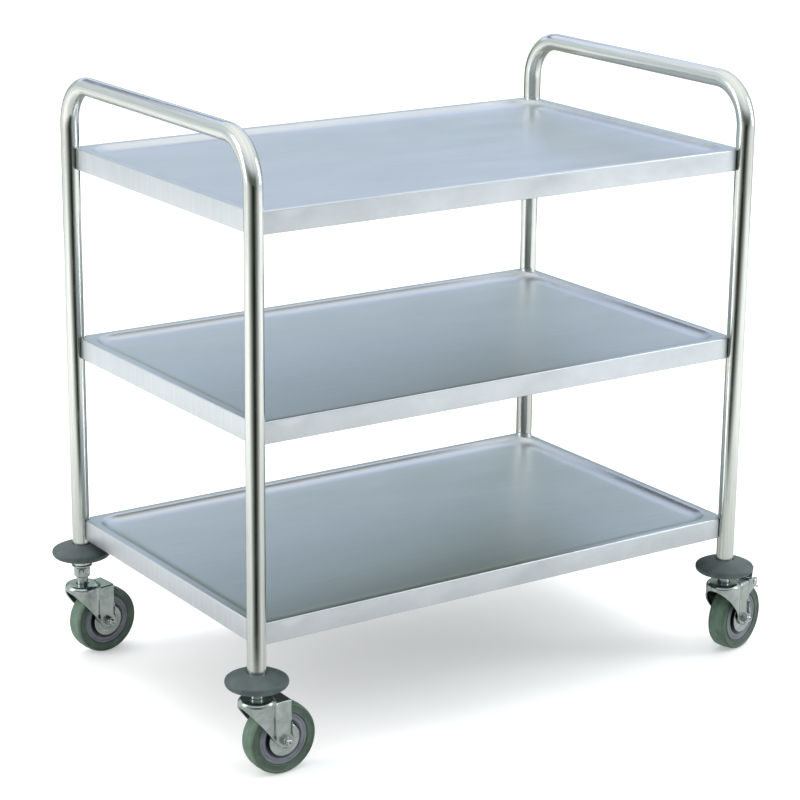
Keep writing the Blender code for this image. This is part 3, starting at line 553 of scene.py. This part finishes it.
def makeStem(corner):
    # turned profile from the race up to the plug; the nut's rows are cut to a chamfered hexagon
    s = stemSizes
    low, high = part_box(corner + "_stem")
    top = high.z / mm
    race, neck, nut, nutFoot, collar = s["race"], s["neck"], s["nut"], s["nutFoot"], s["collar"]
    raceTop, collarFoot, collarTop, plug = s["raceTop"], s["collarFoot"], s["collarTop"], s["plug"]
    plain = [(0.0, low.z / mm), (race, low.z / mm), (race, raceTop), (neck + 1.5, raceTop),
             (neck, raceTop + 1.5), (neck, nutFoot - 1.0)]
    flats = [(nut - 1.3, nutFoot), (nut, nutFoot + 1.0), (nut, collarFoot - 2.2), (nut - 1.3, collarFoot - 1.0)]
    upper = [(nut - 2.0, collarFoot - 0.6), (collar - 0.6, collarFoot), (collar, collarFoot + 0.6),
             (collar, collarTop - 0.6), (collar - 0.6, collarTop), (plug, collarTop), (plug, top - 2.0),
             (plug - 1.2, top), (0.0, top)]
    profile = np.array(plain + flats + upper) * mm
    row = np.arange(len(profile))
    hexRows = (row >= len(plain)) & (row < len(plain) + len(flats))
    points, coords = lathe(profile, s["around"], hexRows, s["nutAcross"] * mm)
    points += np.array((casters[corner].post.x, casters[corner].post.y, 0.0))
    makePiece(corner + "_stem_nut", points, gridFaces(len(profile), s["around"]), "zinc",
              "trolley_frame", [corner + "_stem"], ("turnCoords", coords), sharp=28.0)


for corner in corners:
    makeBumper(corner)
    makeStem(corner)
print("bumpers and stems made")


forkSizes = {                # millimetres
    "crown": 25.5, "crownTop": 112.0, "plateTop": 106.0, "crownRound": 6.0, "plateRound": 3.0,
    "crownFlat": 19.5, "crownFall": 7.0, "half": 18.5, "rear": 42.0, "sheet": 2.5, "hole": 9.3,
    "front": 103.0, "boss": 11.5, "shoulder": -12.0, "easeStart": 8.0, "easeEnd": 24.0,
}


def cheekHalf(x):
    # half width in plan: y = sqrt(R^2 - x^2) in front, the cheek's own h behind, and between them
    # the larger of the two, eased as (y + h + sqrt((y - h)^2 + 0.3)) / 2
    s = forkSizes
    circle = np.sqrt(np.maximum(s["crown"] ** 2 - x ** 2, 0.0))
    eased = (circle + s["half"] + np.sqrt((circle - s["half"]) ** 2 + 0.3)) / 2
    return np.where(x < s["easeStart"], circle, np.where(x > s["easeEnd"], s["half"], eased))


def forkPlan():
    # one cheek from the rear to the crown's shoulder, then half the crown's front, R (cos a, sin a)
    s = forkSizes
    x = np.concatenate((np.linspace(s["rear"], 22.0, 14), np.linspace(21.0, s["shoulder"], 26)))
    angle = np.linspace(math.acos(s["shoulder"] / s["crown"]), math.pi, 16)[1:]
    front = np.stack((s["crown"] * np.cos(angle), s["crown"] * np.sin(angle)), axis=-1)
    return np.concatenate((np.stack((x, cheekHalf(x)), axis=-1), front)), len(x)


def cheekFoot(x, cheekCount, axleX, axleZ):
    # lower edge: a straight leading edge from the crown's front that touches the boss's circle,
    # then round the boss; spread over the cheek's points by distance walked
    s = forkSizes
    start = np.array((-s["crown"], s["front"]))
    gap = start - (axleX, axleZ)
    touch = math.atan2(gap[1], gap[0]) + math.acos(s["boss"] / np.hypot(*gap))
    turn = np.linspace(touch, math.acos((s["rear"] - axleX) / s["boss"]) + 2 * math.pi, 40)
    boss = np.stack((axleX + s["boss"] * np.cos(turn), axleZ + s["boss"] * np.sin(turn)), axis=-1)
    slope = (boss[0, 1] - start[1]) / (boss[0, 0] - start[0])
    shoulder = np.array((s["shoulder"], start[1] + slope * (s["shoulder"] - start[0])))
    edge = shoulder + (boss[0] - shoulder) * np.linspace(0.0, 0.9, 10)[:, None]
    path = np.concatenate((edge, boss))
    walked = walkedAlong(path)
    share = (x[:cheekCount] - s["shoulder"]) / (s["rear"] - s["shoulder"]) * walked[-1]
    frontZ = start[1] + slope * (x[cheekCount:] - start[0])
    footX = np.concatenate((np.interp(share, walked, path[:, 0]), x[cheekCount:]))
    footZ = np.concatenate((np.interp(share, walked, path[:, 1]), frontZ))
    return footX, footZ


def crownHeight(r):
    # flat over the race, then sinking to the plate by a smooth step of the distance r
    s = forkSizes
    return s["plateTop"] + (s["crownTop"] - s["plateTop"]) * (1 - smoothStep((r - s["crownFlat"]) / s["crownFall"]))


def makeFork(corner):
    # top: rays from the neck hole out to the plan outline, at the crown's height; side: a rounded
    # fold, start + f (sin a outward - (1 - cos a) Z), then straight lines down to the lower edge
    s = forkSizes
    caster = casters[corner]
    side, cheekCount = forkPlan()
    foot = cheekFoot(side[:, 0], cheekCount, caster.trail / mm, caster.axle.z / mm)
    footX, footZ = (np.concatenate((v, v[-2::-1])) for v in foot)
    plan = np.concatenate((side * (1.0, -1.0), side[-2::-1]))
    away = np.linalg.norm(plan, axis=1) - s["crown"]
    fold = s["crownRound"] + (s["plateRound"] - s["crownRound"]) * smoothStep(away / 5)
    outward = leftNormals(plan)
    outward *= np.sign((outward * plan).sum(axis=1, keepdims=True))
    outward[0], outward[-1] = (0.0, -1.0), (0.0, 1.0)
    start = plan - outward * fold[:, None]
    rear = np.stack((np.full(9, s["rear"]), np.linspace(start[-1, 1], start[0, 1], 11)[1:-1]), axis=-1)
    rim = np.concatenate((start, rear))

    t = (np.linspace(0, 1, 18) ** 0.9)[:, None, None]
    hole = rim / np.linalg.norm(rim, axis=1, keepdims=True) * s["hole"]
    top = hole[None] * (1 - t) + rim[None] * t
    top = np.concatenate((top, crownHeight(np.linalg.norm(top, axis=-1))[..., None]), axis=-1)

    a = np.linspace(0, math.pi / 2, 8)[:, None]
    foldXY = start[None] + outward[None] * (fold * np.sin(a))[..., None]
    foldZ = crownHeight(np.linalg.norm(start, axis=1)) - fold * (1 - np.cos(a))
    v = np.linspace(0, 1, 16)[1:, None]
    wallX = plan[None, :, 0] * (1 - v) + footX * v
    wallZ = foldZ[-1] * (1 - v) + footZ * v
    column = np.arange(len(plan))
    isFront = (column >= cheekCount) & (column < len(plan) - cheekCount)
    wallY = np.where(isFront, np.abs(plan[:, 1]), cheekHalf(wallX)) * np.sign(plan[:, 1] + 1e-12)
    strip = np.concatenate((np.concatenate((foldXY, foldZ[..., None]), axis=-1),
                            np.stack((wallX, wallY, wallZ), axis=-1)))
    stripFaces = gridFaces(*strip.shape[:2], closeColumns=False) + top[..., 0].size
    points = np.concatenate((top.reshape(-1, 3), strip.reshape(-1, 3))) * mm
    faces = np.concatenate((gridFaces(*top.shape[:2]), stripFaces))
    makePiece(corner + "_pressed_fork", caster.place(points), faces, "zinc", corner + "_caster",
              [corner + "_fork"], closed=False, sharp=40.0, wall=s["sheet"] * mm)


for corner in corners:
    makeFork(corner)
print("forks made")


earSizes = {"middle": 17.25, "round": 7.0, "hole": 2.8, "foot": 83.2, "bevel": 0.4, "around": 96}   # millimetres
pedalSizes = {
    "path": [(4.5, 21.0), (0.0, 0.0), (22.0, -17.0), (28.0, -18.4)], "bends": (0, 5.0, 4.0, 0),
    "sheet": 2.5, "width": 24.0, "tipWidth": 15.0, "squareness": 0.35, "around": 40,
    "barrel": 4.5, "barrelWidth": 30.5, "bore": 2.9,
    "rivet": 2.5, "head": 4.5, "headHeight": 1.4, "grip": 18.8,
}


def pinPlace(corner):
    # the pedal's pin, in mm: its distance behind the swivel's axis, and its height
    low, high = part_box(corner + "_pedal_pin")
    pin, post = (low + high) / 2, casters[corner].post
    return math.hypot(pin.x - post.x, pin.y - post.y) / mm, pin.z / mm


def turnedPiece(name, corner, at, profile, around, finish, body, nodes, closeRows=True, hexRows=None,
                across=0.0, offset=0.0, sharp=35.0):
    # a profile turned round a level axis at (x, z) behind the swivel, shifted towards -Y
    points, coords = lathe(profile, around, hexRows, across)
    points = lying(points) + np.array((at[0], -offset * mm, at[1]))
    makePiece(name, casters[corner].place(points), gridFaces(len(profile), around, closeRows=closeRows),
              finish, body, nodes, ("turnCoords", coords), sharp=sharp)


def makeEar(corner, label, y):
    # a plate round the pedal's pin: its radius at an angle is the nearest of the cheek's edge, the
    # top edge and the sloping lower edge, d / cos(a - direction), and the round end
    s = earSizes
    pinX, pinZ = pinPlace(corner)
    rear = forkSizes["rear"]
    a = np.arange(s["around"]) * 2 * math.pi / s["around"]
    toFoot = (rear - pinX, s["foot"] - pinZ)
    slant = math.atan2(toFoot[1], toFoot[0]) + math.acos(s["round"] / math.hypot(*toFoot))
    edges = []
    for direction, distance in ((math.pi, pinX - rear), (math.pi / 2, s["round"]), (slant, s["round"])):
        c = np.cos(a - direction)
        edges.append(np.where(c > 0.02, distance / np.maximum(c, 0.02), 99.0))
    reach = np.minimum.reduce(edges)
    roundEnd = (a - slant) % (2 * math.pi) < (math.pi / 2 - slant) % (2 * math.pi)
    reach = np.where(roundEnd, np.minimum(reach, s["round"]), reach)
    half, bevel = forkSizes["sheet"] / 2, s["bevel"]
    hole = np.full_like(a, s["hole"])
    rows = []
    for r, level in ((hole, -half), (reach - bevel, -half), (reach, bevel - half), (reach, half - bevel),
                     (reach - bevel, half), (hole, half)):
        rows.append(np.stack((pinX + r * np.cos(a), np.full_like(a, y + level), pinZ + r * np.sin(a)), axis=-1))
    makePiece(f"{corner}_{label}_brake_ear", casters[corner].place(np.stack(rows) * mm),
              gridFaces(len(rows), len(a), closeRows=True), "zinc", corner + "_caster", [], sharp=30.0)


def makePedal(corner):
    # a strip carried along the bent path, its section (|cos a|^q, |sin a|^q), a rounded rectangle
    # that narrows towards the foot end; the barrel and the rivet are turned round the pin
    s = pedalSizes
    pinX, pinZ = pinPlace(corner)
    path = softened(s["path"], s["bends"], 9, False)
    path = path[np.concatenate(([True], np.linalg.norm(np.diff(path, axis=0), axis=1) > 1e-6))]
    normal, walked = leftNormals(path), walkedAlong(path)
    width = s["width"] + (s["tipWidth"] - s["width"]) * smoothStep((walked / walked[-1] - 0.55) / 0.45)
    a = np.arange(s["around"]) * 2 * math.pi / s["around"]
    acrossWave, thickWave = (np.sign(wave) * np.abs(wave) ** s["squareness"] for wave in (np.cos(a), np.sin(a)))
    offset = s["sheet"] / 2 * thickWave
    x = pinX + path[:, :1] + normal[:, :1] * offset
    z = pinZ + path[:, 1:] + normal[:, 1:] * offset
    grid = np.stack((x, width[:, None] / 2 * acrossWave, z), axis=-1)
    first, last = (np.broadcast_to(grid[end].mean(axis=0), grid[:1].shape) for end in (0, -1))
    grid = np.concatenate((first, grid, last))
    makePiece(corner + "_pedal_lever", casters[corner].place(grid * mm), gridFaces(*grid.shape[:2]), "zinc",
              corner + "_pedal", [corner + "_brake_pedal"], sharp=40.0)
    at, wide = (pinX * mm, pinZ * mm), s["barrelWidth"] / 2
    profile = [(s["bore"], -wide), (s["barrel"], -wide), (s["barrel"], wide), (s["bore"], wide)]
    turnedPiece(corner + "_pedal_barrel", corner, at, softened(profile, 0.5, 4) * mm, 32, "zinc",
                corner + "_pedal", [], sharp=40.0)
    grip, head, outer = s["grip"], s["head"], s["grip"] + s["headHeight"]
    end = [(0, outer), (2.4, outer), (3.8, outer - 0.4), (head, grip + 0.3), (head, grip), (s["rivet"], grip)]
    profile = np.array(end + [(r, -h) for r, h in end[::-1]]) * mm
    turnedPiece(corner + "_pedal_rivet", corner, at, profile, 32, "bolt", corner + "_caster",
                [corner + "_pedal_pin"], closeRows=False, sharp=40.0)


for corner in brakedCorners:
    makeEar(corner, "inner", earSizes["middle"])
    makeEar(corner, "outer", -earSizes["middle"])
    makePedal(corner)
print("brakes made")


wheelSizes = {               # millimetres
    "tyre": 50.0, "tyreHalf": 14.0, "seat": 36.3, "hub": 36.0, "hubHalf": 12.0, "dish": 27.0, "dishHalf": 9.0,
    "boss": 9.0, "bossHalf": 14.0, "bore": 4.4, "around": 96,
}
axleSizes = {
    "across": 13.0, "head": 5.0, "nut": 6.5, "washer": 0.6, "past": 3.0, "radius": 4.0, "cheek": 18.8,
    "guard": 23.0, "guardThick": 1.4, "guardMiddle": 15.0, "around": 48, "guardAround": 72,
}


def makeWheel(corner):
    # half profiles (radius, distance from the middle), mirrored and turned round the axle
    s = wheelSizes
    body, at = corner + "_wheel", casters[corner].at
    # tyre: a wall sunk between two rings, a raised line at the shoulder, crowned tread
    half = s["tyreHalf"]
    side = [(s["seat"], half * 0.86), (37.4, half * 0.95), (38.4, half * 0.95), (39.2, half * 0.86),
            (44.6, half * 0.90), (46.4, half), (47.4, half), (48.9, half * 0.86), (48.5, half * 0.76),
            (49.5, half * 0.64), (49.7, 0.9), (s["tyre"], 0.5)]
    profile = softened(side + [(r, -w) for r, w in side[::-1]], 0.45, 5) * mm
    turnedPiece(corner + "_tyre_ring", corner, at, profile, s["around"], "tyre", body, [corner + "_tyre"],
                sharp=50.0)
    # hub: the boss, the dished web, a raised ring and the rim
    boss, bossHalf, dish, dishHalf, half = s["boss"], s["bossHalf"], s["dish"], s["dishHalf"], s["hubHalf"]
    side = [(s["bore"], bossHalf), (boss - 0.8, bossHalf), (boss, bossHalf - 0.8), (boss + 0.6, dishHalf + 0.4),
            (dish - 0.6, dishHalf), (dish + 0.5, half - 0.6), (dish + 1.5, half), (31.0, half),
            (31.6, half - 0.8), (32.4, half - 0.8), (33.0, half), (s["hub"], half)]
    profile = softened(side + [(r, -w) for r, w in side[::-1]], 0.5, 4) * mm
    turnedPiece(corner + "_hub_disc", corner, at, profile, s["around"], "hub", body, [corner + "_hub"])


def makeAxle(corner):
    # profiles (radius, distance towards -Y); a hexagon's point radius is half its flats / cos 30
    s = axleSizes
    body, at = corner + "_caster", casters[corner].at
    cheek, nut, radius, around, flats = s["cheek"], s["nut"], s["radius"], s["around"], s["across"] * mm
    point = s["across"] / 2 / math.cos(math.pi / 6)
    # bolt: chamfered hexagon head on the +Y side, plain shank, thread rings on the end
    head, end = -cheek - s["head"], cheek + s["washer"] + nut + s["past"]
    start = cheek + s["washer"] + nut - 1.5
    crests = np.linspace(start, end - 0.6, 6)
    thread = [place for crest in crests for place in ((radius - 0.35, crest - 0.3), (radius, crest))]
    profile = [(0.0, head), (s["across"] / 2 - 0.8, head), (point - 0.9, head + 0.05), (point, head + 0.8),
               (point, -cheek - 0.5), (point - 0.5, -cheek), (radius, -cheek), (radius, start - 1.0), *thread,
               (radius - 0.8, end), (1.6, end), (1.3, end - 1.8), (0.0, end - 2.2)]
    row = np.arange(len(profile))
    turnedPiece(corner + "_axle_screw", corner, at, np.array(profile) * mm, around, "bolt", body,
                [corner + "_axle_bolt"], False, (row > 1) & (row < 6), flats, sharp=28.0)
    # nut: chamfered hexagon with a bore
    top = cheek + nut
    profile = [(4.3, cheek), (point - 0.9, cheek), (point, cheek + 0.7), (point, top - 0.7), (point - 0.9, top),
               (5.0, top), (4.3, top - 0.6)]
    row = np.arange(len(profile))
    turnedPiece(corner + "_axle_hex_nut", corner, at, np.array(profile) * mm, around, "bolt", body,
                [corner + "_axle_nut"], True, (row > 0) & (row < 5), flats, sharp=28.0)
    # guards: thin discs with a rolled edge and a pressed ring, one inside each cheek
    thick, edge = s["guardThick"] / 2, s["guard"]
    profile = [(4.4, thick), (9.0, thick), (9.6, thick - 0.3), (16.0, thick - 0.3), (16.8, thick),
               (edge - 1.0, thick), (edge, thick - 0.6), (edge, -thick), (4.4, -thick)]
    for label, sign in (("outer", 1), ("inner", -1)):
        turnedPiece(f"{corner}_{label}_guard_disc", corner, at, softened(profile, 0.25, 4) * (mm, sign * mm),
                    s["guardAround"], "zinc", body, [f"{corner}_{label}_guard"], offset=sign * s["guardMiddle"])


for corner in corners:
    makeWheel(corner)
    makeAxle(corner)
print("wheels made")


stageLook = {
    "floorRadius": 22.0,
    "floorTones": [(0.3, "#dededd"), (0.7, "#e4e4e3")],
    "floorGlow": 0.33,
    "flag": "#26291f",
    "wedge": (0.32, 1.0),               # cosine of the angle off the wedge's middle
    "wedgeTurn": 6.0,                   # degrees
    "closeShade": (0.85, 2.1, 0.38),    # metres from the middle that it fades over, and how dark
    "underShade": (2.0, 3.2, 0.75),     # the same behind the trolley
    "allShade": 0.12,
    "backdropRadius": 3.0,              # metres
    "backdropTop": 3.4,
    "backdrop": [(0.0, "#252b29"), (0.18, "#434c49"), (0.28, "#90a091"), (0.42, "#95a493"), (0.475, "#c9d5f4"),
                 (1.0, "#d5def4")],
    "backdropGlow": (1.72, 1.36),       # left and right
    "band": (1.95, 2.25, 2.45, 2.75),   # heights the shaded band fades in and out over
    "sky": [(0.0, "#cdd4da"), (0.3, "#cfd6dc"), (0.55, "#e0e5ea"), (0.85, "#ffffff")],
    "dimWall": "#5b605a",
    "skyStrength": 1.4,
    "lights": [
        {"name": "overhead_box", "place": (0.3, 0.4, 3.4), "target": (0.0, 0.0, 0.0), "size": (3.2, 2.4),
         "power": 60.0, "colour": "#fbfcff", "mirrored": False},
        {"name": "left_strip", "place": (-3.0, 0.9, 1.5), "target": (0.0, 0.0, 0.5), "size": (1.0, 2.2),
         "power": 40.0, "colour": "#fffdf8", "mirrored": True},
        {"name": "right_strip", "place": (2.9, -1.9, 1.6), "target": (0.0, 0.0, 0.5), "size": (1.0, 2.2),
         "power": 40.0, "colour": "#f8fbff", "mirrored": True},
    ],
}
cameraTurn = math.radians(cameraLook["turn"])
towardsCamera = Vector((-math.sin(cameraTurn), -math.cos(cameraTurn), 0.0))


def stagePiece(name, points, faces, material, reflectedOnly=True):
    # a mesh of the stage; a card is one that only reflections see
    mesh = bpy.data.meshes.new(name)
    mesh.from_pydata(points.reshape(-1, 3).tolist(), [], faces.tolist())
    mesh.materials.append(material)
    piece = bpy.data.objects.new(name, mesh)
    if reflectedOnly:
        piece.visible_camera = piece.visible_diffuse = piece.visible_shadow = False
    bpy.context.scene.collection.objects.link(piece)


def makeFloor(look):
    # concentric rings of points, (r cos a, r sin a, 0)
    r = np.array((0.0, 0.5, 1.5, 4.0, 10.0, look["floorRadius"]))
    points, _ = lathe(np.stack((r, np.zeros_like(r)), axis=-1), 96)
    material, tree, place = newMaterial("matt_white_paper_sweep")
    fibre = addNode(tree, "TexNoise", {"Scale": 3.0, "Detail": 4.0}, {"Vector": place})
    tone = addNode(tree, "ValToRGB", {"stops": look["floorTones"]}, {"Fac": fibre})
    paper = addNode(tree, "BsdfPrincipled", {
        "Emission Color": linear("#ffffff"), "Emission Strength": look["floorGlow"], "Roughness": 0.9,
        "Specular IOR Level": 0.1}, {"Base Color": tone})
    addNode(tree, "OutputMaterial", links={"Surface": paper})
    stagePiece("floor", points, gridFaces(len(r), 96), material, False)


def softSteps(tree, *steps):
    # product of smooth steps, each a (value, start, end, low, high)
    product = None
    for value, *limits in steps:
        step = addNode(tree, "MapRange", {"interpolation_type": "SMOOTHSTEP", **fromTo(*limits)},
                       {"Value": value})
        if product:
            step = addNode(tree, "Math", {"operation": "MULTIPLY"}, {0: product, 1: step})
        product = step
    return product


def cosineTo(tree, vector, direction):
    # cos a = direction . vector / |vector|
    unit = addNode(tree, "VectorMath", {"operation": "NORMALIZE"}, {0: vector})
    along = addNode(tree, "VectorMath", {"operation": "DOT_PRODUCT", 1: tuple(direction)}, {0: unit})
    return along.outputs["Value"]


def addGlow(tree, cover, settings, links):
    # clear where the cover is 0, glowing where it is 1
    glow = addNode(tree, "Emission", settings, links)
    mix = addNode(tree, "MixShader", links={0: cover, 1: addNode(tree, "BsdfTransparent"), 2: glow})
    addNode(tree, "OutputMaterial", links={"Surface": mix})


def makeFloorShade(look):
    # a flat ring just above the floor, as dark as the darkest of: a wedge that opens from the near
    # post towards the camera, a disc round the trolley, a patch behind it, and an even shade
    material, tree, place = newMaterial("black_flag_cloth")
    post = casters["front_left"].post
    fromPost = addNode(tree, "VectorMath", {"operation": "SUBTRACT", 1: (post.x, post.y, 0.0)}, {0: place})
    reach, postReach = (addNode(tree, "VectorMath", {"operation": "LENGTH"}, {0: vector}).outputs["Value"]
                        for vector in (place, fromPost))
    turned = Matrix.Rotation(math.radians(look["wedgeTurn"]), 3, "Z") @ towardsCamera
    front, back = cosineTo(tree, fromPost, turned), cosineTo(tree, place, -towardsCamera)
    wedge = addNode(tree, "MapRange", fromTo(*look["wedge"]), {"Value": front})
    wedge = addNode(tree, "Math", {"operation": "MULTIPLY"},
                    {0: wedge, 1: softSteps(tree, (postReach, 0.1, 0.5))})
    start, end, dark = look["closeShade"]
    close = softSteps(tree, (reach, start, end, dark, 0.0))
    start, end, dark = look["underShade"]
    under = softSteps(tree, (back, 0.3, 0.85, 0.0, dark), (reach, start, end, 1.0, 0.0))
    cover = addNode(tree, "Math", {"operation": "MAXIMUM", 1: look["allShade"]}, {0: wedge})
    for other in (close, under):
        cover = addNode(tree, "Math", {"operation": "MAXIMUM"}, {0: cover, 1: other})
    addGlow(tree, cover, {"Color": linear(look["flag"])}, {})
    edge = look["floorRadius"] - 0.1
    points, _ = lathe(np.stack((np.geomspace(0.3, edge, 12), np.full(12, 0.002)), axis=-1), 96)
    stagePiece("floor_shade", points, gridFaces(12, 96), material)


def makeBackdrop(look):
    # an upright curved card behind the trolley, R (cos a, sin a), a grid of angle by height: dim at
    # the foot, brighter above, strength = side (1 + band), the band darker on its left
    material, tree, place = newMaterial("grey_backdrop_cloth")
    top, radius = look["backdropTop"], look["backdropRadius"]
    z = addNode(tree, "SeparateXYZ", links={"Vector": place}).outputs["Z"]
    height = addNode(tree, "MapRange", fromTo(0.0, top), {"Value": z})
    tone = addNode(tree, "ValToRGB", {"stops": look["backdrop"]}, {"Fac": height})
    sideways = (-towardsCamera.y, towardsCamera.x, 0.0)
    aside = addNode(tree, "VectorMath", {"operation": "DOT_PRODUCT", 1: sideways}, {0: place}).outputs["Value"]
    fadeIn, full, fadeOut, gone = look["band"]
    band = softSteps(tree, (z, fadeIn, full), (z, fadeOut, gone, 1.0, 0.0), (aside, -0.4, 0.5, -0.75, 0.35))
    side = softSteps(tree, (aside, -1.0, 0.8, *look["backdropGlow"]))
    strength = addNode(tree, "Math", {"operation": "MULTIPLY_ADD"}, {0: side, 1: band, 2: side})
    flat = addNode(tree, "VectorMath", {"operation": "MULTIPLY", 1: (1.0, 1.0, 0.0)}, {0: place})
    cover = softSteps(tree, (cosineTo(tree, flat, -towardsCamera), 0.5, 0.8), (z, top - 0.4, top, 1.0, 0.0))
    addGlow(tree, cover, {}, {"Color": tone, "Strength": strength})
    middle = math.atan2(-towardsCamera.y, -towardsCamera.x)
    angle, level = np.meshgrid(np.linspace(-1.1, 1.1, 33) + middle, np.linspace(0.0, top, 6), indexing="ij")
    points = np.stack((radius * np.cos(angle), radius * np.sin(angle), level), axis=-1)
    stagePiece("backdrop_card", points, gridFaces(33, 6, closeColumns=False), material)


def makeSky(look):
    # a soft room of light, cool behind and white overhead, with a dim wall behind the camera
    world = bpy.data.worlds.new("studio")
    bpy.context.scene.world = world
    world.use_nodes = True
    tree = world.node_tree
    tree.nodes.clear()
    place = addNode(tree, "TexCoord").outputs["Generated"]
    z = addNode(tree, "SeparateXYZ", links={"Vector": place}).outputs["Z"]
    flat = addNode(tree, "VectorMath", {"operation": "MULTIPLY", 1: (1.0, 1.0, 0.0)}, {0: place})
    dim = softSteps(tree, (cosineTo(tree, flat, towardsCamera), 0.3, 0.95), (z, 0.1, 0.5, 1.0, 0.0))
    height = addNode(tree, "ValToRGB", {"stops": look["sky"]}, {"Fac": z})
    shade = addNode(tree, "Mix", {"data_type": "RGBA", 7: linear(look["dimWall"])}, {0: dim, 6: height})
    studio = addNode(tree, "Background", {"Strength": look["skyStrength"]}, {"Color": shade.outputs[2]})
    plain = addNode(tree, "Background", {"Color": linear("#ffffff"), "Strength": 1.0})
    isCamera = addNode(tree, "LightPath").outputs["Is Camera Ray"]
    mix = addNode(tree, "MixShader", links={0: isCamera, 1: studio, 2: plain})
    addNode(tree, "OutputWorld", links={"Surface": mix})


def makeLight(name, place, target, size, power, colour, mirrored):
    # a rectangle of light at its place, turned to face its target
    light = bpy.data.objects.new(name, bpy.data.lights.new(name, "AREA"))
    light.data.shape = "RECTANGLE"
    light.data.size, light.data.size_y = size
    light.data.energy = power
    light.data.color = linear(colour)[:3]
    light.visible_glossy = mirrored
    light.location = place
    light.rotation_euler = (Vector(target) - Vector(place)).to_track_quat("-Z", "Y").to_euler()
    bpy.context.scene.collection.objects.link(light)


makeFloor(stageLook)
makeFloorShade(stageLook)
makeBackdrop(stageLook)
makeSky(stageLook)
for light in stageLook["lights"]:
    makeLight(**light)
print("stage made")
